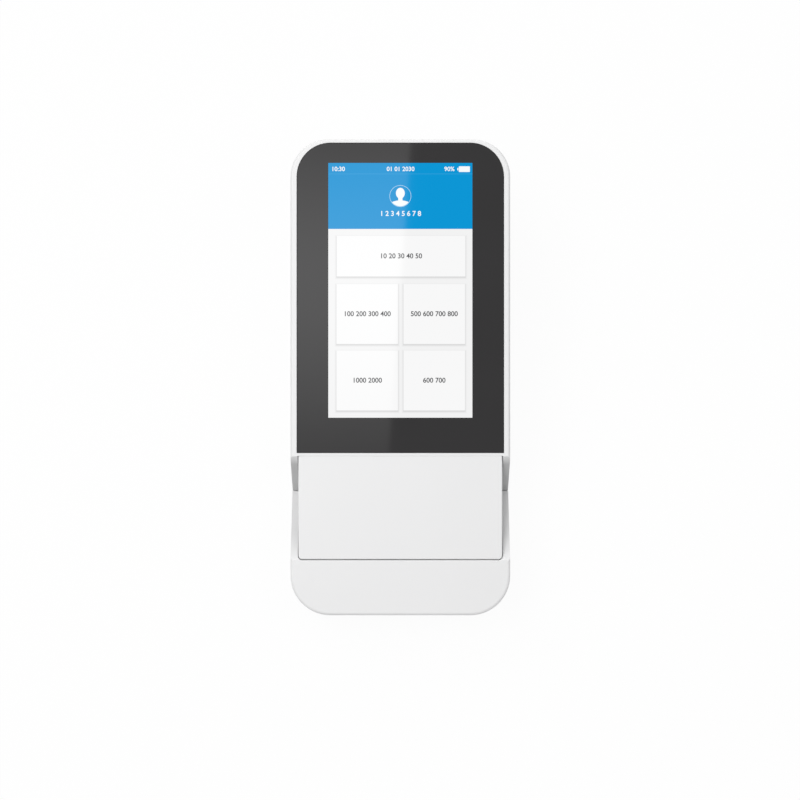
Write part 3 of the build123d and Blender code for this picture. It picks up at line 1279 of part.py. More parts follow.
# Power button: a cap in the rear wall with a rim behind it and a stem to the switch
BUTTON_TRAVEL = 1.0
BUTTON_PROUD = 0.8
BUTTON_FLANGE = 1.0
BUTTON_RIM = 0.6
BUTTON_EDGE = 0.5
STEM_R = 1.6
SWITCH_SET = 8.0          # from the rear wall's inside to the switch
SWITCH_WIDTH = 7.0
SWITCH_LENGTH = 5.0
SWITCH_RISE = 3.0         # above the ports' level
button_seat = rear_inside - SEAM
switch_rear = rear_inside - SWITCH_SET
with BuildPart() as power_button:
    with BuildSketch(Plane.XZ.offset(-(REAR_Y - REVEAL + BUTTON_PROUD))):
        with Locations((BUTTON_X, PORT_Z)):
            Circle(BUTTON_R)
    extrude(amount=BUTTON_PROUD + WALL + SEAM)
    chamfer(power_button.faces().sort_by(Axis.Y)[-1].edges(), BUTTON_EDGE)
    with BuildSketch(Plane.XZ.offset(-button_seat)):
        with Locations((BUTTON_X, PORT_Z)):
            Circle(BUTTON_R + BUTTON_RIM)
    extrude(amount=BUTTON_FLANGE)
    with BuildSketch(Plane.XZ.offset(-button_seat)):
        with Locations((BUTTON_X, PORT_Z)):
            Circle(STEM_R)
    extrude(amount=button_seat - switch_rear - BUTTON_TRAVEL - RUN_FIT)
write_piece(power_button, "power_button")

# Power switch on the board
with BuildPart() as power_switch:
    with BuildSketch(Plane.XY.offset(io_top)):
        with Locations((BUTTON_X, switch_rear - SWITCH_LENGTH / 2)):
            Rectangle(SWITCH_WIDTH, SWITCH_LENGTH)
    extrude(amount=PORT_Z - io_top + SWITCH_RISE)
write_piece(power_switch, "power_switch")

# Speaker on the floor, over its sound slots
with BuildPart() as speaker:
    with BuildSketch(Plane.XY.offset(floor_z)):
        with Locations((0, speaker_y)):
            Circle(SPEAKER_R)
    extrude(amount=SPEAKER_HEIGHT)
    chamfer(speaker.faces().sort_by(Axis.Z)[-1].edges(), SPEAKER_EDGE)
write_piece(speaker, "speaker")
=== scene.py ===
import logging
import math
from collections.abc import Callable
from dataclasses import dataclass, field, replace
from enum import Enum, IntEnum

import bpy
import numpy as np
from mathutils import Matrix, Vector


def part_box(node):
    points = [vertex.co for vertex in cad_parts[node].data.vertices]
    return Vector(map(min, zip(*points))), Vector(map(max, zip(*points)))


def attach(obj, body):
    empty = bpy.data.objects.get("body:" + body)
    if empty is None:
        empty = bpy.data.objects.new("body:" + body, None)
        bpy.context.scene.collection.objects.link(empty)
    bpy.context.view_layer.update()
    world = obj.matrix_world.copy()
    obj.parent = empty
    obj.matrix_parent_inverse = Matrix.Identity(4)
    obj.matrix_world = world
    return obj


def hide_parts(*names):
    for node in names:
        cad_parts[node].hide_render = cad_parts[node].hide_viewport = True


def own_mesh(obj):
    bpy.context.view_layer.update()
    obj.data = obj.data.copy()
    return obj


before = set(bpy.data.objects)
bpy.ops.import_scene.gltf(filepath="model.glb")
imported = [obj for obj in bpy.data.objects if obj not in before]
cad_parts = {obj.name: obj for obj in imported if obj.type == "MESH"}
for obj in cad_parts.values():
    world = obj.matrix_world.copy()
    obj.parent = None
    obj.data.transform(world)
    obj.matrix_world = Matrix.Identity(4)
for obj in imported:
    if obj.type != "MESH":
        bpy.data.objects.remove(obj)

MM = 0.001
SHARP_TURN = math.radians(38.0)
RIGHT, REAR, UPWARD = np.eye(3)
LOG = logging.getLogger("analyzer")

Pair = tuple[float, float]
Triple = tuple[float, float, float]
Quad = tuple[float, float, float, float]
Named = tuple[tuple[str, float], ...]


# Places on the sloping face


@dataclass(frozen=True)
class FacePlane:
    """The analyzer's sloping face: x to the user's right, u up the slope, h out of the face."""

    tilt: float = math.radians(12.0)
    screen_station: float = 38.35 * MM
    module_depth: float = 2.3 * MM

    @property
    def up(self) -> np.ndarray:
        """The direction up the slope."""
        return np.array([0.0, math.cos(self.tilt), math.sin(self.tilt)])

    @property
    def out(self) -> np.ndarray:
        """The direction out of the face."""
        return np.array([0.0, -math.sin(self.tilt), math.cos(self.tilt)])

    @property
    def origin(self) -> np.ndarray:
        """The middle of the face, worked out from where the display module lies."""
        middle = np.mean(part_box("display_module"), axis=0)
        return middle + self.out * self.module_depth - self.up * self.screen_station

    def place(self, flat: np.ndarray) -> np.ndarray:
        """Rows of x, u and h in the model's frame: origin + x right + u up + h out."""
        return self.origin + flat @ np.stack([RIGHT, self.up, self.out])


PLANE = FacePlane()


# Outlines and closed surfaces


def arc(radius: float, turn: np.ndarray, flatness: float = 1.0) -> np.ndarray:
    """Points at the angles `turn`: radius times (cos turn, flatness times sin turn)."""
    return radius * np.stack([np.cos(turn), flatness * np.sin(turn)], axis=1)


def circle(radius: float, count: int = 64, flatness: float = 1.0) -> np.ndarray:
    """The whole of a circle or an ellipse, anticlockwise."""
    return arc(radius, np.arange(count) * 2 * math.pi / count, flatness)


def rounded_rectangle(width: float, height: float, radius: float, count: int = 64) -> np.ndarray:
    """A rectangle with quarter-circle corners.

    Each angle t gives the corner centre of its quadrant plus radius times (cos t, sin t); the
    straight sides are the steps between quadrants.

    Args:
        width: Size along x.
        height: Size along y.
        radius: Corner radius.
        count: Number of points, a multiple of four.

    Returns:
        Points as rows of x and y, anticlockwise.
    """
    quarter = np.linspace(0.0, math.pi / 2, count // 4)
    turn = (quarter + np.arange(4)[:, None] * math.pi / 2).ravel()
    corner = np.repeat([[1, 1], [-1, 1], [-1, -1], [1, -1]], count // 4, axis=0)
    return corner * [width / 2 - radius, height / 2 - radius] + arc(radius, turn)


@dataclass
class Surface:
    """Vertices and faces of a closed surface, gathered before they become one mesh."""

    points: np.ndarray = field(default_factory=lambda: np.zeros((0, 3)))
    faces: list[list[int]] = field(default_factory=list)

    def joined(self, *others: "Surface") -> "Surface":
        """This surface and others as one.

        Args:
            others: The surfaces that follow this one.

        Returns:
            All their points and faces, in that order.
        """
        faces = list(self.faces)
        count = len(self.points)
        for other in others:
            faces += [[i + count for i in face] for face in other.faces]
            count += len(other.points)
        return Surface(np.vstack([self.points, *(other.points for other in others)]), faces)

    def shifted(self, x: float, y: float, z: float = 0.0) -> "Surface":
        """The same surface moved by x, y and z."""
        return Surface(self.points + [x, y, z], self.faces)


def loops(rings: np.ndarray, closed: bool = False) -> Surface:
    """A skin over a stack of rings, each with the same number of points.

    The surface is a grid: one parameter runs round the ring, the other from ring to ring.

    Args:
        rings: Array of rings, points and coordinates.
        closed: True if the last ring joins the first, as on a picture frame; otherwise the
            first and last rings are closed with a fan about their middle.

    Returns:
        The closed surface.
    """
    levels, count = rings.shape[:2]
    index = np.arange(levels * count).reshape(levels, count)
    after = np.roll(index, -1, axis=1)
    above = np.roll(index, -1, axis=0)
    quads = np.stack([index, after, np.roll(after, -1, axis=0), above], axis=-1)
    points = rings.reshape(-1, 3)
    if closed:
        return Surface(points, quads.reshape(-1, 4).tolist())
    first, last = len(points), len(points) + 1
    points = np.vstack([points, rings[0].mean(axis=0), rings[-1].mean(axis=0)])
    fan_low = np.stack([after[0], index[0], np.full(count, first)], axis=1).tolist()
    fan_high = np.stack([index[-1], after[-1], np.full(count, last)], axis=1).tolist()
    return Surface(points, quads[:-1].reshape(-1, 4).tolist() + fan_low + fan_high)


def ring_at(outline: np.ndarray, height: float) -> np.ndarray:
    """The outline's points at one height."""
    return np.column_stack([outline, np.full(len(outline), height)])


def pad(outline: np.ndarray, low: float, high: float) -> Surface:
    """A flat slab of the outline's shape between two heights."""
    return loops(np.stack([ring_at(outline, low), ring_at(outline, high)]))


def border(outer: np.ndarray, inner: np.ndarray, low: float, high: float) -> Surface:
    """A flat slab between two outlines, like a picture frame, between two heights."""
    rings = [ring_at(outer, low), ring_at(outer, high), ring_at(inner, high), ring_at(inner, low)]
    return loops(np.stack(rings), closed=True)


def spun(radii: np.ndarray, heights: np.ndarray) -> Surface:
    """A turned form: at each height a row of radii, one per angle t, times (cos t, sin t)."""
    flat = radii[:, :, None] * circle(1.0, radii.shape[1])
    return loops(np.stack([ring_at(ring, height) for ring, height in zip(flat, heights)]))


def stroke(path: np.ndarray, width: float, low: float, high: float) -> Surface:
    """A flat line of constant width along a path.

    The path's points are pushed half the width to both sides, along the mitred normal of the
    two runs that meet there. The four corners at each point make a ring, and each end is a face.

    Args:
        path: Points as rows of x and y.
        width: Width of the line.
        low: Height of the underside.
        high: Height of the top.

    Returns:
        The closed surface.
    """
    half = width / 2
    run = np.diff(path, axis=0)
    run /= np.linalg.norm(run, axis=1, keepdims=True)
    normal = np.stack([-run[:, 1], run[:, 0]], axis=1)
    mitre = np.vstack([normal[:1], (normal[:-1] + normal[1:]) / 2, normal[-1:]])
    mitre /= (mitre**2).sum(axis=1, keepdims=True)
    ahead = np.vstack([path[:1] - run[:1] * half, path[1:-1], path[-1:] + run[-1:] * half])
    left, right = ahead + mitre * half, ahead - mitre * half
    sides = ((right, low), (right, high), (left, high), (left, low))
    rings = np.stack([ring_at(side, height) for side, height in sides], axis=1)
    index = np.arange(len(path) * len(sides)).reshape(-1, len(sides))
    after = np.roll(index, -1, axis=1)
    quads = np.stack([index[:-1], index[1:], after[1:], after[:-1]], axis=-1).reshape(-1, 4)
    caps = [index[0].tolist(), index[-1, ::-1].tolist()]
    return Surface(rings.reshape(-1, 3), quads.tolist() + caps)


# Shader maths


def by_math(operation: str) -> Callable[..., "Wire"]:
    """A method of Wire that puts its value and others through one Math node.

    Args:
        operation: The node's operation.

    Returns:
        The method.
    """

    def method(self: "Wire", *others: "Wire | float") -> "Wire":
        """The node's value."""
        sockets = dict(enumerate([self, *others]))
        return self.sheet.add("ShaderNodeMath", {"operation": operation}, sockets)

    return method


class Wire:
    """A node's socket in an expression: each operator adds a Math node."""

    __add__ = __radd__ = by_math("ADD")
    __mul__ = __rmul__ = by_math("MULTIPLY")
    __sub__ = by_math("SUBTRACT")
    __truediv__ = by_math("DIVIDE")
    __pow__ = by_math("POWER")
    __abs__ = by_math("ABSOLUTE")
    below = by_math("LESS_THAN")
    above = by_math("GREATER_THAN")
    greatest = by_math("MAXIMUM")
    fraction = by_math("FRACT")
    exponent = by_math("EXPONENT")
    scaled_sum = by_math("MULTIPLY_ADD")

    def __init__(self, sheet: "Sheet", socket: bpy.types.NodeSocket) -> None:
        """Holds the socket and the sheet that it belongs to."""
        self.sheet = sheet
        self.socket = socket

    def __rsub__(self, other: float) -> "Wire":
        """Difference with the number first."""
        return self.scaled_sum(-1.0, other)

    def clamp(self) -> "Wire":
        """The value held between 0 and 1."""
        return self.sheet.add("ShaderNodeClamp", {}, {"Value": self})

    def mixed(self, other: "Wire", share: float) -> "Wire":
        """This value with a share of another."""
        return self * (1 - share) + other * share if share else self


class Sheet:
    """The node tree of one material or of the world."""

    def __init__(self, tree: bpy.types.NodeTree) -> None:
        """Empties the tree."""
        self.tree = tree
        self.tree.nodes.clear()

    def add(self, kind: str, settings: dict, sockets: dict, output: str | int | None = 0) -> Wire:
        """Adds any node.

        Args:
            kind: The node's type.
            settings: The node's properties, which are set first.
            sockets: A value or a Wire for each input, by name or number.
            output: The output that the caller uses, None for a node that ends the tree.

        Returns:
            That output as a Wire.
        """
        node = self.tree.nodes.new(kind)
        for name, value in settings.items():
            setattr(node, name, value)
        for name, value in sockets.items():
            socket = self.pick(node.inputs, name)
            if isinstance(value, Wire):
                self.tree.links.new(value.socket, socket)
            else:
                socket.default_value = value
        return Wire(self, None if output is None else self.pick(node.outputs, output))

    @staticmethod
    def pick(sockets: bpy.types.bpy_prop_collection, name: str | int) -> bpy.types.NodeSocket:
        """A socket by its identifier, its name or its number."""
        found = [socket for socket in sockets if socket.identifier == name]
        return found[0] if found else sockets[name]

    def point(self) -> Wire:
        """The place on the object, in metres."""
        return self.add("ShaderNodeTexCoord", {}, {}, "Object")

    def dot(self, vector: Wire, direction: np.ndarray) -> Wire:
        """How far a vector reaches along a direction."""
        sockets = {0: vector, 1: tuple(direction)}
        return self.add("ShaderNodeVectorMath", {"operation": "DOT_PRODUCT"}, sockets, "Value")

    def along(self, direction: np.ndarray) -> Wire:
        """How far the place lies along a direction."""
        return self.dot(self.point(), direction)

    def station(self) -> Wire:
        """How far up the slope the place lies from the middle of the face."""
        return self.along(PLANE.up) - float(PLANE.origin @ PLANE.up)

    def stretched(self, scale: Triple) -> Wire:
        """The place on the object, stretched along each axis."""
        sockets = {0: self.point(), 1: scale}
        return self.add("ShaderNodeVectorMath", {"operation": "MULTIPLY"}, sockets)

    def noise(self, size: float, detail: float = 2.0, point: "Wire | None" = None) -> Wire:
        """Noise from 0 to 1 with blots of about `size`, read at a place or at the object's."""
        sockets = {"Vector": point or self.point(), "Scale": 1.0 / size, "Detail": detail}
        return self.add("ShaderNodeTexNoise", {}, sockets, "Fac")

    def cells(self, size: float, metric: str = "EUCLIDEAN", output: str = "Distance") -> Wire:
        """Cells of about `size` round scattered points: the distance to the point, or a colour."""
        sockets = {"Vector": self.point(), "Scale": 1.0 / size}
        return self.add("ShaderNodeTexVoronoi", {"distance": metric}, sockets, output)

    def blend(self, factor: "Wire | float", first: "Quad | Wire", second: "Quad | Wire") -> Wire:
        """Mixes two colours."""
        sockets = {"Factor_Float": factor, "A_Color": first, "B_Color": second}
        return self.add("ShaderNodeMix", {"data_type": "RGBA"}, sockets, "Result_Color")

    def bump(self, height: Wire, depth: float) -> Wire:
        """A normal that follows a height; `depth` is the height of 1 in metres."""
        sockets = {"Height": height, "Distance": depth, "Strength": 1.0}
        return self.add("ShaderNodeBump", {}, sockets, "Normal")

    def end(self, shader: Wire, owner: str = "Material") -> None:
        """Ends the tree of a material or of the world in a shader."""
        self.add("ShaderNodeOutput" + owner, {}, {"Surface": shader}, None)


def grey(level: float) -> Quad:
    """A neutral colour."""
    return (level, level, level, 1.0)


def scaled(colour: Triple, factor: float = 1.0) -> Quad:
    """A colour made lighter or darker, as RGBA."""
    red, green, blue = (min(1.0, part * factor) for part in colour)
    return (red, green, blue, 1.0)


def blank(name: str) -> tuple[bpy.types.Material, Sheet]:
    """A new material and its empty sheet.

    Args:
        name: The material's name.

    Returns:
        The material and the sheet.
    """
    material = bpy.data.materials.new(name)
    material.use_nodes = True
    return material, Sheet(material.node_tree)


# Finishes

GLASS_ROUGH = 0.035
GLASS_INDEX = 1.5


@dataclass(frozen=True)
class Finish:
    """What every finish has: a name, a colour and how it drifts, and a material made once.

    The drift is the share of the colour that is left where a factor is 0, and where it is 1.
    """

    name: str
    colour: Triple
    drift: Pair = (1.0, 1.0)

    def material(self) -> bpy.types.Material:
        """Makes the material at its first use.

        Returns:
            The material of this finish.
        """
        found = bpy.data.materials.get(self.name)
        if found is None:
            found, sheet = blank(self.name)
            sheet.end(sheet.add("ShaderNodeBsdfPrincipled", {}, self.inputs(sheet), "BSDF"))
        return found

    def tone(self, sheet: Sheet, factor: Wire) -> Wire:
        """The colour, which drifts with the factor."""
        low, high = (scaled(self.colour, share) for share in self.drift)
        return sheet.blend(factor, low, high)

    def inputs(self, sheet: Sheet) -> dict:
        """What the Principled shader is given; each kind of finish has its own."""
        raise NotImplementedError


class Grain(Enum):
    """How a fine grain is stretched: evenly, into the lines of a brushed metal or into ripples."""

    EVEN = (1.0, 1.0, 1.0)
    ALONG = (14.0, 0.35, 14.0)
    ACROSS = (0.35, 14.0, 14.0)
    POLISHED = (2.2, 2.2, 2.2)
    RIPPLED = (1.0, 0.3, 1.0)


@dataclass(frozen=True)
class Grained(Finish):
    """A finish made of two noises, a broad cloud and a fine grain.

    Each swings the roughness by its own amount. The colour follows the cloud, with a share of
    the grain. The grain is a bump, with a share of coarser pits.
    """

    rough: float = 0.42
    cloud: float = 9 * MM
    cloud_detail: float = 2.0
    cloud_swing: float = 0.0
    grain: float = 1 * MM
    grain_detail: float = 2.0
    grain_swing: float = 0.0
    grain_share: float = 0.0
    stretch: Grain = Grain.EVEN
    depth: float = 0.0
    pit_share: float = 0.0
    pit_ratio: float = 3.1
    more: Named = ()

    def inputs(self, sheet: Sheet) -> dict:
        """Two noises drive colour, roughness and bump.

        Args:
            sheet: The material's sheet.

        Returns:
            The shader's inputs.
        """
        cloud = sheet.noise(self.cloud, self.cloud_detail)
        grain = sheet.noise(self.grain, self.grain_detail, sheet.stretched(self.stretch.value))
        pits = sheet.noise(self.grain * self.pit_ratio, 1.0)
        rough = self.rough + (cloud - 0.5) * self.cloud_swing + (grain - 0.5) * self.grain_swing
        return {
            "Base Color": self.tone(sheet, cloud.mixed(grain, self.grain_share)),
            "Roughness": rough.clamp(),
            "Normal": sheet.bump(grain.mixed(pits, self.pit_share), self.depth),
            **dict(self.more),
        }


@dataclass(frozen=True)
class Moulded(Grained):
    """Injection-moulded plastic with a fine spark-eroded texture and faint flow marks."""

    drift: Pair = (0.988, 1.008)
    cloud: float = 28 * MM
    cloud_detail: float = 1.0
    cloud_swing: float = 0.04
    grain: float = 0.35 * MM
    grain_detail: float = 3.0
    grain_swing: float = 0.08
    depth: float = 0.002 * MM
    pit_share: float = 0.25


@dataclass(frozen=True)
class ScoopShadeShell(Moulded):
    """The white shell, whose finger scoops carry painted shade: a darker colour where shadow falls in
    the recess.
    """

    scoop_inside: float = 42.0 * MM
    facing: float = 0.5
    fade: float = 5.0 * MM
    # shade: the share of the colour left where the painted shade is full
    shade: float = 0.79

    def tone(self, sheet: Sheet, factor: Wire) -> Wire:
        """Paints shade into what faces out of the slope, lies under the face and is close to a side.

        The share of painted shade is (depth under the face / fade), held to 0..1, times two masks:
        the surface's own normal along the face's, and the distance from the middle.

        Args:
            sheet: The material's sheet.
            factor: What the plastic's own colour drifts with.

        Returns:
            The colour, with the painted shade in the scoops.
        """
        own = sheet.add("ShaderNodeNewGeometry", {}, {}, "True Normal")
        depth = float(PLANE.origin @ PLANE.out) - sheet.along(PLANE.out)
        beside = abs(sheet.along(RIGHT)).above(self.scoop_inside)
        # painted shade, stronger deeper in the scoop, standing in for the shadow there
        painted_shade = (depth / self.fade).clamp() * sheet.dot(own, PLANE.out).above(self.facing) * beside
        return sheet.blend(painted_shade, super().tone(sheet, factor), scaled(self.colour, self.shade))


@dataclass(frozen=True)
class Metal(Grained):
    """Sheet or turned metal with rolling lines, faint smudges and a satin gloss."""

    drift: Pair = (0.88, 1.06)
    rough: float = 0.3
    cloud: float = 7 * MM
    cloud_swing: float = 0.16
    grain: float = 0.9 * MM
    grain_detail: float = 4.0
    grain_swing: float = 0.22
    grain_share: float = 0.6
    stretch: Grain = Grain.ALONG
    depth: float = 0.003 * MM
    more: Named = (("Metallic", 1.0),)


@dataclass(frozen=True)
class ClearLens(Grained):
    """Clear moulded optics with a faint blue-green drift."""

    colour: Triple = (0.88, 0.95, 0.97)
    pale: Triple = (0.94, 0.98, 0.99)
    rough: float = 0.05
    cloud: float = 2 * MM
    cloud_detail: float = 1.0
    cloud_swing: float = 0.02
    more: Named = (("Transmission Weight", 0.9), ("IOR", 1.49))

    def tone(self, sheet: Sheet, factor: Wire) -> Wire:
        """From the deeper colour to the paler one."""
        return sheet.blend(factor, scaled(self.colour), scaled(self.pale))


@dataclass(frozen=True)
class Board(Finish):
    """Green solder mask over copper tracks, with tinned pads."""

    colour: Triple = (0.020, 0.115, 0.055)
    copper: Triple = (0.045, 0.20, 0.085)
    pad: Triple = (0.62, 0.60, 0.52)
    pitch: float = 2.4 * MM
    gap: float = 0.45
    pad_reach: float = 0.16
    pad_metal: float = 0.9
    pad_gloss: float = 0.1
    rough: float = 0.36
    depth: float = 0.02 * MM

    def inputs(self, sheet: Sheet) -> dict:
        """Blocks of parallel tracks, told apart by a coarse cell colour, with scattered pads.

        Args:
            sheet: The material's sheet.

        Returns:
            The shader's inputs.
        """
        cell = sheet.cells(4 * self.pitch, "CHEBYCHEV", "Color")
        turn = sheet.add("ShaderNodeSeparateColor", {}, {"Color": cell}, "Red").above(0.5)
        lane = (sheet.along(RIGHT) * turn + sheet.along(REAR) * (1 - turn)) / (0.5 * self.pitch)
        track = lane.fraction().above(self.gap)
        spots = sheet.cells(self.pitch).below(self.pad_reach)
        mask = sheet.blend(track, scaled(self.colour), scaled(self.copper))
        return {
            "Base Color": sheet.blend(spots, mask, scaled(self.pad)),
            "Metallic": spots * self.pad_metal,
            "Roughness": self.rough - spots * self.pad_gloss,
            "Normal": sheet.bump(track * 0.5 + spots * 0.5, self.depth),
        }


@dataclass(frozen=True)
class PrintedGlass(Finish):
    """Polished glass over black ink, with a faint film of finger marks."""

    colour: Triple = (0.042, 0.041, 0.042)
    drift: Pair = (0.94, 1.06)
    cloud: float = 40 * MM
    marks: float = 16 * MM
    clean: float = 0.52
    contrast: float = 3.0
    smear: float = 0.02

    def inputs(self, sheet: Sheet) -> dict:
        """The ink's level drifts a little and the marks change only the gloss.

        Args:
            sheet: The material's sheet.

        Returns:
            The shader's inputs.
        """
        film = ((sheet.noise(self.marks, 3.0) - self.clean) * self.contrast).clamp()
        return {
            "Base Color": self.tone(sheet, sheet.noise(self.cloud, 1.0)),
            "Roughness": GLASS_ROUGH + film * self.smear,
            "IOR": GLASS_INDEX,
        }


@dataclass(frozen=True)
class Lit(Finish):
    """A part of the lit picture, under the same gloss as the glass."""

    drift: Pair = (0.996, 1.004)
    cloud: float = 22 * MM

    def material(self) -> bpy.types.Material:
        """Leaves it to chance that rays find this light, which keeps the rest of the picture clean.

        Returns:
            The material of this finish.
        """
        made = super().material()
        made.cycles.emission_sampling = "NONE"
        return made

    def factor(self, sheet: Sheet) -> Wire:
        """What the colour drifts with: a slow cloud, as in a backlight."""
        return sheet.noise(self.cloud, 1.0)

    def inputs(self, sheet: Sheet) -> dict:
        """Light comes from emission, gloss from the black base."""
        light = {"Emission Color": self.tone(sheet, self.factor(sheet)), "Emission Strength": 1.0}
        return light | {"Base Color": grey(0.0), "Roughness": GLASS_ROUGH, "IOR": GLASS_INDEX}


@dataclass(frozen=True)
class LitPage(Lit):
    """The page behind the tiles, with a soft shadow under each tile."""

    drift: Pair = (1.0, 0.80)
    tiles: tuple[Quad, ...] = ()
    drop: float = 0.45 * MM
    blur: float = 1.1 * MM

    def factor(self, sheet: Sheet) -> Wire:
        """The square of the nearness to a tile: 1 at the tile's edge, 0 a blur away.

        Args:
            sheet: The material's sheet.

        Returns:
            The shadow.
        """
        across, up = sheet.along(RIGHT), sheet.station()
        shadow = None
        for x, u, width, height in self.tiles:
            beside = abs(across - x) - width / 2
            above = abs(up - (u - self.drop)) - height / 2
            near = (1 - beside.greatest(above) / self.blur).clamp()
            shadow = near if shadow is None else shadow.greatest(near)
        return shadow * shadow


WHITE_TONE = (0.835, 0.835, 0.838)
WHITE = Moulded("white_plastic", WHITE_TONE, rough=0.40)
# The nose and the shell carry painted shade in their finger scoops, set deeper on the shell
NOSE = ScoopShadeShell("nose_plastic", WHITE_TONE, rough=0.40)
SHELL = ScoopShadeShell("shell_plastic", WHITE_TONE, rough=0.40, fade=3.0 * MM, shade=0.61)
GREY = Moulded("grey_plastic", (0.60, 0.615, 0.63), rough=0.5, grain=0.5 * MM, depth=0.012 * MM)
DECK = Moulded("deck_plastic", (0.36, 0.375, 0.39), rough=0.46, grain=0.4 * MM, depth=0.008 * MM)
BLACK = Moulded("black_plastic", (0.018, 0.018, 0.020))
GLASS_FILLED = Moulded("glass_filled_plastic", (0.030, 0.031, 0.034), rough=0.55, depth=0.010 * MM)
STEEL = Metal("bright_steel", (0.60, 0.60, 0.61), rough=0.24)
SHEET_STEEL = Metal("stamped_steel", (0.50, 0.51, 0.52), rough=0.34, stretch=Grain.ACROSS)
NICKEL = Metal("nickel_plate", (0.62, 0.61, 0.58), rough=0.16, stretch=Grain.POLISHED)
ALUMINIUM = Metal("machined_aluminium", (0.74, 0.75, 0.76), rough=0.32)
GOLD = Metal("gold_plate", (0.86, 0.62, 0.27), rough=0.2)
BRIGHT = Lit("screen_bright", (0.93, 0.95, 0.97))
BOARD = Board("board_green")

# Satin paint over metal, with a little orange peel under a coat
COAT = (("Coat Weight", 0.4), ("Coat Roughness", 0.12))
PAINT = Grained(
    "motor_paint", (0.17, 0.175, 0.185), (0.93, 1.07), rough=0.34, cloud_swing=0.12,
    grain=1.1 * MM, grain_detail=1.0, depth=0.006 * MM, more=COAT,
)
# Matt black rubber with a dusty bloom, paler where the cloud is high
RUBBER = Grained(
    "foot_rubber", (0.028, 0.028, 0.029), (1.0, 1.9), rough=0.83, cloud=2.2 * MM,
    cloud_detail=3.0, cloud_swing=0.1, grain=0.25 * MM, depth=0.012 * MM,
)
# Heat-shrunk film, glossy, with long soft ripples
FILM = Grained(
    "battery_film", (0.012, 0.035, 0.16), (0.85, 1.15), rough=0.27, grain=5 * MM,
    grain_swing=0.1, grain_share=1.0, stretch=Grain.RIPPLED, depth=0.10 * MM,
)


# Placing meshes


def link(name: str, data: bpy.types.ID) -> bpy.types.Object:
    """A new object of the scene, at the origin.

    Args:
        name: Its name.
        data: Its mesh, lamp or camera.

    Returns:
        The new object.
    """
    made = bpy.data.objects.new(name, data)
    bpy.context.scene.collection.objects.link(made)
    return made


def add_piece(
    name: str, surface: Surface, finish: Finish, body: str, node: str | None = None
) -> bpy.types.Object:
    """Makes a surface a piece of the analyzer, with its place in its mesh.

    Args:
        name: The piece's name.
        surface: Its closed surface, in the model's frame.
        finish: Its finish.
        body: The body that it rides on.
        node: The CAD node that it replaces; such a piece is round and shaded smooth.

    Returns:
        The new object.
    """
    mesh = bpy.data.meshes.new(name)
    mesh.from_pydata(surface.points.tolist(), [], surface.faces)
    mesh.validate()
    mesh.update()
    mesh.materials.append(finish.material())
    piece = link(name, mesh)
    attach(piece, body)
    if node is not None:
        mesh.polygons.foreach_set("use_smooth", [True] * len(mesh.polygons))
        mesh.set_sharp_from_angle(angle=SHARP_TURN)
        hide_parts(node)
    LOG.info("%s: %d faces on %s", name, len(mesh.polygons), body)
    return piece


def dress(finish: Finish, *nodes: str) -> None:
    """Gives CAD nodes their finish.

    Args:
        finish: The finish.
        nodes: The nodes' names.
    """
    for name in nodes:
        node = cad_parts[name]
        if not node.material_slots:
            node.data.materials.append(None)
        for slot in node.material_slots:
            slot.link = "OBJECT"
            slot.material = finish.material()
        LOG.info("%s: %s", name, finish.name)


def points_of(mesh: bpy.types.Mesh) -> np.ndarray:
    """Where a mesh's vertices lie.

    Args:
        mesh: The mesh.

    Returns:
        Rows of x, y and z.
    """
    points = np.zeros(len(mesh.vertices) * 3)
    mesh.vertices.foreach_get("co", points)
    return points.reshape(-1, 3)


def digits(text: str, size: float, depth: float, weight: float = 0.018) -> Surface:
    """Plain numbers, centred on the origin.

    Args:
        text: What is written.
        size: Height of the line of type.
        depth: Half of the numbers' thickness.
        weight: How much wider each side of a stroke is drawn, as a share of the size.

    Returns:
        The numbers' closed surface.
    """
    line = bpy.data.curves.new("digits", "FONT")
    line.body = text
    line.size = size
    line.extrude = depth
    line.offset = weight * size
    line.align_x = "CENTER"
    line.align_y = "CENTER"
    line.resolution_u = 6
    holder = bpy.data.objects.new("digits", line)
    mesh = bpy.data.meshes.new_from_object(holder)
    surface = Surface(points_of(mesh), [list(polygon.vertices) for polygon in mesh.polygons])
    bpy.data.objects.remove(holder)
    bpy.data.curves.remove(line)
    bpy.data.meshes.remove(mesh)
    return surface


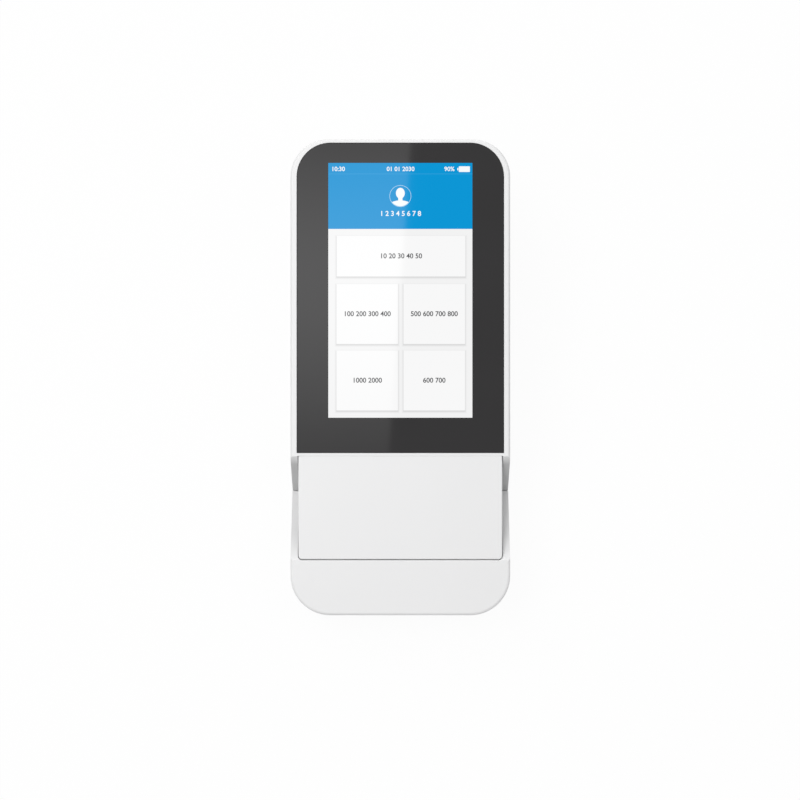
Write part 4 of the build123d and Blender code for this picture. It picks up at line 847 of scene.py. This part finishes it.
@dataclass(frozen=True)
class Screw:
    """A pan-head screw with a six-lobed recess and a rolled thread."""

    head_radius: float = 2.1 * MM
    head_height: float = 1.8 * MM
    shank_radius: float = 1.05 * MM
    pitch: float = 0.8 * MM
    thread: float = 0.2
    tip: float = 0.45
    edge: float = 0.45
    crown: float = 0.42
    recess_radius: float = 1.0 * MM
    recess_depth: float = 1.05 * MM
    recess_taper: Triple = (1.0, 0.94, 0.90)
    lead_in: float = 0.12 * MM
    lobes: int = 6
    lobe: float = 0.14
    count: int = 48
    steps: int = 6
    apart: float = 2.2

    def skin(self, length: float) -> Surface:
        """The screw, standing on its tip.

        The shank's radius falls from its crest by a triangle wave of height / pitch - t / turn.
        The head is a short wall and then a crown whose radius falls with the square of a while
        its height rises with the sine of a. The recess's radius is 1 + lobe times cos 6t.

        Args:
            length: From the tip to the top of the head.

        Returns:
            The closed surface.
        """
        turn = np.arange(self.count) * 2 * math.pi / self.count
        seat = length - self.head_height
        climb = np.linspace(0.0, seat, int(self.steps * seat / self.pitch))[:, None]
        crest = np.abs((climb / self.pitch - turn / (2 * math.pi)) % 1.0 * 2 - 1)
        point = np.minimum(1.0, self.tip + climb / (2 * self.shank_radius))
        shank = self.shank_radius * (1 - self.thread * crest) * point
        rise = np.linspace(0.0, 1.0, self.steps + 1)[1:]
        head = np.array([1.0, 1.0, *(1 - self.crown * rise**2)]) * self.head_radius
        wall = self.edge * self.head_height
        dome = wall + (self.head_height - wall) * np.sin(rise * math.pi / 2)
        lobes = self.recess_radius * (1 + self.lobe * np.cos(self.lobes * turn))
        recess = np.array(self.recess_taper)[:, None] * lobes
        floors = length - np.array([0.0, self.lead_in, self.recess_depth])
        radii = np.vstack([shank, np.repeat(head[:, None], self.count, axis=1), recess])
        heights = np.concatenate([climb[:, 0], seat + np.array([0.0, wall, *dome]), floors])
        return spun(radii, heights)

    def drive(self, name: str, node: str, axis: np.ndarray) -> None:
        """Puts a screw in place of each solid of a CAD node.

        Args:
            name: The new piece's name.
            node: The node whose solids are the plain screws.
            axis: Unit vector from the tips to the heads.
        """
        side = np.cross(axis, RIGHT)
        side /= np.linalg.norm(side)
        basis = np.stack([side, np.cross(axis, side), axis])
        left = points_of(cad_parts[node].data) @ basis.T
        screws = []
        while len(left):
            reach = np.linalg.norm(left[:, :2] - left[0, :2], axis=1)
            near = reach < self.apart * self.head_radius
            low, high = left[near].min(axis=0), left[near].max(axis=0)
            skin = self.skin(high[2] - low[2])
            foot = np.append((low + high)[:2] / 2, low[2])
            screws.append(Surface((skin.points + foot) @ basis, skin.faces))
            left = left[~near]
        add_piece(name, Surface().joined(*screws), STEEL, "casing", node)


MACHINE_SCREW = Screw(shank_radius=1.25 * MM)


# Sub-assemblies


@dataclass
class Casing:
    """The housing: upper casing, nose cover, lower casing, feet and casing screws."""

    def build(self) -> None:
        """Dresses the mouldings and drives the screws from below."""
        dress(SHELL, "upper_casing")
        dress(NOSE, "nose_cover")
        dress(GREY, "lower_casing")
        dress(RUBBER, "rubber_feet")
        Screw().drive("casing_screw_set", "casing_screws", -UPWARD)


class Layer(IntEnum):
    """The lit picture's layers, the lowest first."""

    PAGE = 0
    TILE = 1
    MARK = 2


@dataclass(frozen=True)
class UserSign:
    """A plain head and shoulders in a ring, centred on the origin."""

    radius: float = 4.8 * MM
    line: float = 0.22 * MM
    head_radius: float = 1.95 * MM
    head_flatness: float = 1.22
    head_rise: float = 1.25 * MM
    neck_drop: float = 1.55 * MM
    neck: Triple = (1.9 * MM, 2.4 * MM, 0.3 * MM)
    bust_inset: float = 0.30 * MM
    bust_rise: float = 0.75 * MM
    bust_end: float = 0.20 * math.pi
    under_steps: int = 40
    over_steps: int = 24

    def ring(self, low: float, high: float) -> Surface:
        """The ring, between two heights."""
        return border(circle(self.radius), circle(self.radius - self.line), low, high)

    def mark(self, low: float, high: float) -> Surface:
        """Head, neck and shoulders, between two heights.

        The shoulders are an arc inside the ring, closed by a parabola: rise times 1 - s squared.

        Args:
            low: Height of the underside.
            high: Height of the top.

        Returns:
            The closed surface.
        """
        head = pad(circle(self.head_radius, flatness=self.head_flatness), low, high)
        neck = pad(rounded_rectangle(*self.neck), low, high)
        turn = np.linspace(self.bust_end - math.pi, -self.bust_end, self.under_steps)
        under = arc(self.radius - self.bust_inset, turn)
        sweep = np.linspace(1.0, -1.0, self.over_steps)[1:-1]
        x, y = under[-1]
        over = np.stack([sweep * x, y + self.bust_rise * (1 - sweep**2)], axis=1)
        bust = pad(np.vstack([under, over]), low, high)
        return head.shifted(0, self.head_rise).joined(neck.shifted(0, -self.neck_drop), bust)


@dataclass
class Display:
    """Cover glass, display module and the lit picture, which lies in the glass's surface."""

    width: float = 63.5 * MM
    bottom: float = -17.8 * MM
    top: float = 94.5 * MM
    header_height: float = 29.1 * MM
    layer: float = 0.012 * MM
    layer_share: float = 0.9
    ground: float = -0.099 * MM
    corner: float = 0.05 * MM
    tiles: tuple[Quad, ...] = (
        (0.3 * MM, 53.4 * MM, 56.7 * MM, 17.9 * MM),
        *((x, 27.9 * MM, 27.1 * MM, 26.4 * MM) for x in (-14.6 * MM, 14.95 * MM)),
        *((x, -1.4 * MM, 27.1 * MM, 26.4 * MM) for x in (-14.6 * MM, 14.95 * MM)),
    )
    captions: tuple[str, ...] = (
        "10 20 30 40 50",
        "100 200 300 400",
        "500 600 700 800",
        "1000 2000",
        "600 700",
    )
    caption_type: float = 3.05 * MM
    status_height: float = 4.85 * MM
    status_drop: float = 2.75 * MM
    status_type: float = 2.7 * MM
    line_width: float = 0.25 * MM
    status_texts: Named = (
        ("10:30", -27.4 * MM),
        ("01 01 2030", 0.1 * MM),
        ("90%", 21.6 * MM),
    )
    battery: tuple[Quad, ...] = (
        (28.2 * MM, 4.9 * MM, 2.5 * MM, 0.3 * MM),
        (25.35 * MM, 0.5 * MM, 1.1 * MM, 0.12 * MM),
    )
    user_station: float = 79.9 * MM
    number: str = "1 2 3 4 5 6 7 8"
    number_place: Pair = (0.1 * MM, 72.1 * MM)

    def build(self) -> None:
        """Dresses the CAD nodes and lays the picture."""
        dress(PrintedGlass("printed_glass"), "cover_glass")
        dress(replace(RUBBER, name="foam_tape"), "glass_tape")
        dress(Lit("panel_light", (0.80, 0.82, 0.85)), "display_module")
        dress(SHEET_STEEL, "display_tray")
        self.lay_page()
        self.lay_status()
        self.lay_user()
        rows = zip(self.captions, self.tiles)
        captions = [self.line_of_type(text, self.caption_type, *tile[:2]) for text, tile in rows]
        self.add("screen_captions", Lit("screen_grey", (0.092, 0.094, 0.098)), *captions)

    def add(self, name: str, finish: Finish, *parts: Surface) -> None:
        """Adds a part of the picture, given in the face's own x, u and h."""
        flat = Surface().joined(*parts)
        add_piece(name, Surface(PLANE.place(flat.points), flat.faces), finish, "casing")

    def level(self, layer: Layer) -> Pair:
        """Underside and top of one layer of the picture."""
        low = self.ground + layer * self.layer
        return low, low + self.layer_share * self.layer

    def box(
        self, x: float, u: float, width: float, height: float, radius: float, layer: Layer
    ) -> Surface:
        """A rounded rectangle of the picture, centred at x and u."""
        return pad(rounded_rectangle(width, height, radius), *self.level(layer)).shifted(x, u)

    def line_of_type(self, text: str, size: float, x: float, u: float) -> Surface:
        """A line of plain numbers, centred at x and u."""
        low, high = self.level(Layer.MARK)
        return digits(text, size, (high - low) / 2).shifted(x, u, (low + high) / 2)

    def lay_page(self) -> None:
        """The page, the blue head of the page and the tiles."""
        middle = (self.top + self.bottom) / 2
        tall = self.top - self.bottom
        page = self.box(0, middle, self.width, tall, self.corner, Layer.PAGE)
        self.add("screen_page", LitPage("screen_page", (0.888, 0.888, 0.890), tiles=self.tiles), page)
        middle = self.top - self.header_height / 2
        header = self.box(0, middle, self.width, self.header_height, self.corner, Layer.TILE)
        self.add("screen_header", Lit("screen_blue", (0.004, 0.305, 0.665)), header)
        tiles = [self.box(*tile, 4 * self.corner, Layer.TILE) for tile in self.tiles]
        self.add("screen_tiles", Lit("screen_white", (0.936, 0.936, 0.938), (0.998, 1.002)), *tiles)

    def lay_status(self) -> None:
        """The status line: time, date, charge and a battery, in plain numbers."""
        u = self.top - self.status_height
        line = self.box(0, u, self.width, self.line_width, self.line_width / 4, Layer.MARK)
        self.add("screen_status_line", Lit("screen_pale_blue", (0.035, 0.36, 0.72)), line)
        u = self.top - self.status_drop
        texts = [self.line_of_type(text, self.status_type, x, u) for text, x in self.status_texts]
        battery = [self.box(x, u, *size, Layer.MARK) for x, *size in self.battery]
        self.add("screen_status_marks", BRIGHT, *texts, *battery)

    def lay_user(self) -> None:
        """The ring with a plain head and shoulders, and a user number."""
        sign = UserSign()
        between = self.level(Layer.MARK)
        ring = sign.ring(*between).shifted(0, self.user_station)
        self.add("screen_user_ring", Lit("screen_ring_blue", (0.45, 0.68, 0.88)), ring)
        self.add("screen_user_mark", BRIGHT, sign.mark(*between).shifted(0, self.user_station))
        number = self.line_of_type(self.number, self.caption_type, *self.number_place)
        self.add("screen_user_number", BRIGHT, number)


@dataclass
class Door:
    """The flip-up door, its hinge and its catches."""

    def build(self) -> None:
        """Dresses the door's pieces."""
        dress(WHITE, "door_panel")
        dress(NICKEL, "door_magnets")
        dress(STEEL, "hinge_pins")
        dress(SHEET_STEEL, "hinge_brackets", "catch_plates")


@dataclass
class StripBay:
    """The deck that the strip is laid on."""

    def build(self) -> None:
        """Dresses the deck's pieces and drives its screws."""
        dress(DECK, "strip_deck")
        MACHINE_SCREW.drive("deck_screw_set", "deck_screws", UPWARD)
        dress(BOARD, "antenna_board")


@dataclass
class Reader:
    """The heated strip reader with its clamp, optics and magnet carriage."""

    spring_radius: float = 1.9 * MM
    wire_radius: float = 0.25 * MM
    spring_turns: float = 3.5
    rings_per_turn: int = 40
    wire_sides: int = 12
    clamp_stroke: float = 1.5 * MM

    def build(self) -> None:
        """Dresses the reader's pieces and winds the clamp's springs."""
        dress(GLASS_FILLED, "reader_frame", "strip_guide", "clamp_plate", "magnet_carriage")
        dress(ALUMINIUM, "lower_heater", "clamp_heater")
        dress(STEEL, "clamp_posts", "guide_rods", "lead_screw")
        MACHINE_SCREW.drive("frame_screw_set", "frame_screws", UPWARD)
        dress(PAINT, "stepper_motor", "clamp_solenoid")
        dress(BLACK, "optics_housing")
        dress(ClearLens("clear_lens"), "optics_lenses")
        dress(BOARD, "optics_board")
        dress(NICKEL, "carriage_magnets")
        self.wind_springs()

    def wind_springs(self) -> None:
        """Two coil springs of round wire.

        The wire's middle climbs evenly while it turns: (radius cos a, radius sin a, climb). Each
        ring about it is wire radius times (cos s outward, -sin s upward).
        """
        low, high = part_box("clamp_springs")
        height = high[2] - low[2]
        share = np.linspace(0.0, 1.0, int(self.spring_turns * self.rings_per_turn) + 1)
        outward = ring_at(arc(1.0, 2 * math.pi * self.spring_turns * share), 0.0)
        climb = self.wire_radius + (height - 2 * self.wire_radius) * share
        middle = self.spring_radius * outward + climb[:, None] * UPWARD
        section = circle(self.wire_radius, self.wire_sides)
        rings = middle[:, None] + section[:, :1] * outward[:, None] - section[:, 1:] * UPWARD
        reach = self.spring_radius + self.wire_radius
        y = (low[1] + high[1]) / 2
        springs = [loops(rings).shifted(x, y, low[2]) for x in (low[0] + reach, high[0] - reach)]
        coils = Surface().joined(*springs)
        piece = add_piece("clamp_coils", coils, STEEL, "casing", "clamp_springs")
        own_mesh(piece)


@dataclass
class Electronics:
    """Boards, battery and speaker."""

    head_height: float = 1.4 * MM
    recess_depth: float = 0.9 * MM

    def build(self) -> None:
        """Dresses the electronics and drives the board's screws, heads down."""
        dress(BOARD, "main_board", "io_board")
        dress(BLACK, "board_chips", "power_switch", "speaker")
        screw = replace(MACHINE_SCREW, head_height=self.head_height, recess_depth=self.recess_depth)
        screw.drive("board_screw_set", "board_screws", -PLANE.out)
        dress(FILM, "battery_pack")
        dress(SHEET_STEEL, "battery_strap")


@dataclass
class RearPanel:
    """Sockets and the power button on the rear panel."""

    socket_width: float = 13.2 * MM
    socket_height: float = 5.8 * MM
    tongue_set: float = 1.0 * MM
    tongue_inset: float = 1.1 * MM
    tongue_rise: float = 1.0 * MM
    tongue_thick: float = 1.8 * MM
    tongue_length: float = 8.0 * MM
    tongue_corner: float = 0.25 * MM
    sleeve: float = 0.03 * MM
    contacts: int = 4
    contact_width: float = 1.1 * MM
    contact_set: float = 0.5 * MM
    contact_reach: float = 0.9
    contact_spread: float = 0.66
    cap_radius: float = 3.6 * MM
    cap_length: float = 3.2 * MM
    cap_edge: float = 0.5 * MM
    flange_radius: float = 4.2 * MM
    flange_thick: float = 1.0 * MM
    stem_radius: float = 1.6 * MM
    dish: float = 0.35 * MM
    facets: int = 64
    edge_steps: int = 7
    dish_steps: int = 12
    sign_steps: int = 48
    sign_radius: float = 1.15 * MM
    sign_line: float = 0.28 * MM
    sign_gap: float = 0.6
    bar_length: float = 1.1
    bar_rise: float = 0.75
    bar_corner: float = 0.3
    ink: float = 0.012 * MM

    def build(self) -> None:
        """Dresses the ports, sleeves the sockets' tongues and prints the button's sign."""
        dress(NICKEL, "usb_sockets")
        dress(BLACK, "power_inlet")
        self.sleeve_tongues()
        self.turn_button()
        self.print_sign()

    @staticmethod
    def stand(flat: Surface, place: Triple) -> Surface:
        """Stands a flat shape up against the rear panel: its x to the left, its height rearward."""
        turned = flat.points @ np.stack([-RIGHT, UPWARD, REAR])
        return Surface(turned + place, flat.faces)

    def sleeve_tongues(self) -> None:
        """Black plastic over each tongue, with flat gold contacts on its underside."""
        low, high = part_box("usb_sockets")
        front = high[1] - self.tongue_set + self.sleeve
        level = high[2] - self.socket_height / 2 + self.tongue_rise
        under = level - self.tongue_thick / 2 - self.sleeve
        width = self.socket_width - 2 * self.tongue_inset
        size = (width + 2 * self.sleeve, self.tongue_thick + 2 * self.sleeve, self.tongue_corner)
        sleeve = pad(rounded_rectangle(*size), -self.tongue_length, 0.0)
        edge = rounded_rectangle(self.contact_width, 3 * self.sleeve, self.sleeve)
        strip = pad(edge, -self.contact_reach * self.tongue_length, -self.contact_set)
        shares = np.arange(self.contacts) / (self.contacts - 1) - 0.5
        middles = (low[0] + self.socket_width / 2, high[0] - self.socket_width / 2)
        sleeves = [self.stand(sleeve, (x, front, level)) for x in middles]
        contacts = [
            self.stand(strip, (x + place, front, under))
            for x in middles
            for place in shares * self.contact_spread * width
        ]
        joined = Surface().joined
        add_piece("socket_tongues", joined(*sleeves), BLACK, "casing")
        add_piece("socket_contacts", joined(*contacts), GOLD, "casing")

    @property
    def button_face(self) -> Triple:
        """The middle of the button's rim."""
        low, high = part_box("power_button")
        return (low[0] + high[0]) / 2, high[1], (low[2] + high[2]) / 2

    def turn_button(self) -> None:
        """The button as a turned form: stem, flange and a cap with a round edge and a dish.

        Each ring is a circle whose radius and height follow the profile. The edge is a quarter
        circle, and the dish's depth is its middle depth times 1 - (radius / rim) squared.
        """
        low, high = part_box("power_button")
        back = -self.cap_length - self.flange_thick
        bend = np.linspace(0.0, math.pi / 2, self.edge_steps)
        inward = np.linspace(1.0, 0.0, self.dish_steps)[1:-1]
        rim = self.cap_radius - self.cap_edge
        steps = [self.stem_radius] * 2 + [self.flange_radius] * 2 + [self.cap_radius]
        radii = np.concatenate([steps, rim + self.cap_edge * np.cos(bend), rim * inward])
        levels = [low[1] - high[1], back, back, -self.cap_length, -self.cap_length]
        edge = self.cap_edge * (np.sin(bend) - 1.0)
        heights = np.concatenate([levels, edge, -self.dish * (1.0 - inward**2)])
        form = spun(np.repeat(radii[:, None], self.facets, axis=1), heights)
        cap = self.stand(form, self.button_face)
        plastic = Moulded("button_plastic", (0.055, 0.057, 0.062), rough=0.32)
        add_piece("button_cap", cap, plastic, "power_button", "power_button")

    def print_sign(self) -> None:
        """Prints the plain standby sign on the dish: an open ring and a bar in the opening."""
        ends = (0.5 * math.pi + self.sign_gap, 2.5 * math.pi - self.sign_gap)
        ring = arc(self.sign_radius, np.linspace(*ends, self.sign_steps))
        sign = stroke(ring, self.sign_line, -self.ink, self.ink)
        length = self.bar_length * self.sign_radius
        bar = rounded_rectangle(self.sign_line, length, self.bar_corner * self.sign_line)
        bar = pad(bar, -self.ink, self.ink).shifted(0, self.bar_rise * self.sign_radius)
        sign = sign.joined(bar)
        away = np.linalg.norm(sign.points[:, :2], axis=1) / (self.cap_radius - self.cap_edge)
        sign.points[:, 2] -= self.dish * (1.0 - away**2)
        sign = self.stand(sign, self.button_face)
        grey_ink = Moulded("sign_ink", (0.62, 0.63, 0.64), rough=0.5)
        add_piece("button_sign", sign, grey_ink, "power_button")


# Studio


def aim(name: str, data: bpy.types.ID, axes: list[np.ndarray], place: Triple) -> bpy.types.Object:
    """Hangs a lamp or a camera, which looks against the last of its axes.

    Args:
        name: Its name.
        data: The lamp or the camera.
        axes: Unit vectors to its right, up and back.
        place: Where it hangs.

    Returns:
        The new object.
    """
    made = link(name, data)
    turned = np.eye(4)
    turned[:3] = np.stack([*axes, place], axis=1)
    made.matrix_world = Matrix(turned.tolist())
    return made


def lay(name: str, corners: np.ndarray, material: bpy.types.Material) -> bpy.types.Object:
    """A flat four-cornered piece of the studio, whose light rays find by chance.

    Args:
        name: Its name.
        corners: Its corners in order, as rows of x, y and z.
        material: Its material.

    Returns:
        The new object.
    """
    mesh = bpy.data.meshes.new(name)
    mesh.from_pydata(corners.tolist(), [], [[0, 1, 2, 3]])
    material.cycles.emission_sampling = "NONE"
    mesh.materials.append(material)
    made = link(name, mesh)
    return made


@dataclass
class Camera:
    """The photograph's view: square to the face from about a metre."""

    lens: float = 100.0
    sensor: float = 36.0
    distance: float = 979.4 * MM
    aim: Pair = (-0.15 * MM, -10.0 * MM)

    def build(self) -> None:
        """Makes the camera and sets it as the scene's own."""
        data = bpy.data.cameras.new("photo_camera")
        data.lens = self.lens
        data.sensor_width = self.sensor
        place = PLANE.place(np.array([[*self.aim, self.distance]]))[0]
        axes = [RIGHT, PLANE.up, PLANE.out]
        bpy.context.scene.camera = aim("photo_camera", data, axes, place)
        LOG.info("camera at %s", np.round(place, 4))


@dataclass
class Lamp:
    """A square lamp aimed at the middle of the analyzer."""

    name: str
    place: Triple
    size: float
    radiance: float
    in_gloss: bool = True

    def build(self) -> None:
        """Hangs the lamp and aims it; its energy is radiance times pi times its area."""
        data = bpy.data.lights.new(self.name, "AREA")
        data.shape = "SQUARE"
        data.size = self.size
        data.energy = self.radiance * math.pi * self.size**2
        back = np.array(self.place) / np.linalg.norm(self.place)
        side = np.cross(UPWARD, back)
        side /= np.linalg.norm(side)
        lamp = aim(self.name, data, [side, np.cross(back, side), back], self.place)
        lamp.visible_glossy = self.in_gloss


class Glow(Enum):
    """Where a card glows."""

    BAND = "band"
    RIM = "rim"


@dataclass
class Card:
    """A flat card over the face that shows only in reflections and glows where its shape says."""

    name: str
    corner: Triple
    size: Pair
    glow: float
    shape: Glow
    spread: float
    turn: float = 0.0
    station: float = 0.0

    def level(self, sheet: Sheet) -> Wire:
        """How brightly each place of the card glows, from 0 to 1.

        A band falls off up and down the slope as exp(-((u - station) / spread) squared); a rim
        grows with the distance from the middle as (distance / spread) cubed.

        Args:
            sheet: The card's sheet.

        Returns:
            The brightness.
        """
        u = sheet.station()
        if self.shape is Glow.BAND:
            off = (u - self.station) / self.spread
            return (off * off * -1.0).exponent()
        across = sheet.along(RIGHT)
        return (((across * across + u * u) / self.spread**2) ** 1.5).clamp()

    def build(self) -> None:
        """Hangs the card level with the face.

        From its corner, as x, u and h, the card runs to the left and up the slope, turned about
        that corner.
        """
        cos, sin = math.cos(self.turn), math.sin(self.turn)
        left = np.array([-cos, -sin, 0.0]) * self.size[0]
        up = np.array([-sin, cos, 0.0]) * self.size[1]
        flat = np.array(self.corner) + np.stack([left * 0, up, left + up, left])
        material, sheet = blank(self.name)
        colour = sheet.blend(self.level(sheet), grey(0.0), grey(1.0))
        sheet.end(sheet.add("ShaderNodeEmission", {}, {"Color": colour, "Strength": self.glow}))
        card = lay(self.name, PLANE.place(flat), material)
        for ray in ("camera", "diffuse", "transmission", "shadow"):
            setattr(card, f"visible_{ray}", False)


@dataclass
class Studio:
    """Pale floor, white surround, five soft lamps and the cards that the glass reflects."""

    floor_size: float = 12.0
    floor_colour: float = 0.86
    floor_white: float = 0.95
    ambient: float = 0.20
    lamps: tuple[Lamp, ...] = (
        Lamp("left_softbox", (-0.55, -0.18, 1.54), 0.9, 4.55),
        Lamp("right_softbox", (0.55, -0.18, 1.54), 0.9, 1.5),
        Lamp("rear_softbox", (-0.77, 0.77, 1.30), 1.0, 2.9, False),
        Lamp("side_softbox", (1.09, 0.0, 1.30), 1.0, 0.85, False),
        Lamp("back_softbox", (0.45, 1.50, 0.50), 1.0, 1.5, False),
    )
    cards: tuple[Card, ...] = (
        Card("ceiling_card", (2.0, -2.0, 1.42), (4.0, 4.0), 0.95, Glow.RIM, 2.0),
        Card("glare_card", (-0.0284, -0.30, 1.30), (1.0, 1.1), 1.55, Glow.BAND, 0.160, -0.071, 0.118),
    )

    def build(self) -> None:
        """Builds all of it and sets the view transform."""
        bpy.context.scene.view_settings.view_transform = "Standard"
        self.surround()
        self.floor()
        for fitting in (*self.lamps, *self.cards):
            fitting.build()

    def outside(self, sheet: Sheet) -> Wire:
        """Tells rays that see the surround from those that it only lights.

        Args:
            sheet: The sheet of the world or of the floor.

        Returns:
            1 for rays that see it directly, in a gloss or through glass, otherwise 0.
        """
        kinds = ("Is Camera Ray", "Is Glossy Ray", "Is Transmission Ray")
        camera, glossy, through = (sheet.add("ShaderNodeLightPath", {}, {}, kind) for kind in kinds)
        return (camera + glossy + through).clamp()

    def surround(self) -> None:
        """White surround where it is seen, and a dimmer one where it only lights."""
        world = bpy.data.worlds.new("surround")
        world.use_nodes = True
        bpy.context.scene.world = world
        sheet = Sheet(world.node_tree)
        strength = self.ambient + self.outside(sheet) * (1.0 - self.ambient)
        sockets = {"Color": grey(1.0), "Strength": strength}
        sheet.end(sheet.add("ShaderNodeBackground", {}, sockets), "World")

    def floor(self) -> None:
        """A pale floor that stays white around the object and keeps a faint shadow."""
        half = self.floor_size / 2
        corners = np.array([[-half, -half, 0], [half, -half, 0], [half, half, 0], [-half, half, 0]])
        material, sheet = blank("floor_white")
        matt = sheet.add("ShaderNodeBsdfDiffuse", {}, {"Color": grey(self.floor_colour)}, "BSDF")
        glow = sheet.add("ShaderNodeEmission", {}, {"Color": grey(1.0), "Strength": 1.0})
        share = self.outside(sheet) * self.floor_white
        sheet.end(sheet.add("ShaderNodeMixShader", {}, {0: share, 1: matt, 2: glow}))
        lay("floor", corners, material)


def main() -> None:
    """Builds the camera, the analyzer's sub-assemblies in order, and the studio."""
    logging.basicConfig(level=logging.INFO, format="%(name)s: %(message)s")
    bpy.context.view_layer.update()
    Camera().build()
    Casing().build()
    Display().build()
    Door().build()
    StripBay().build()
    Reader().build()
    Electronics().build()
    RearPanel().build()
    Studio().build()


if __name__ == "__main__":
    main()
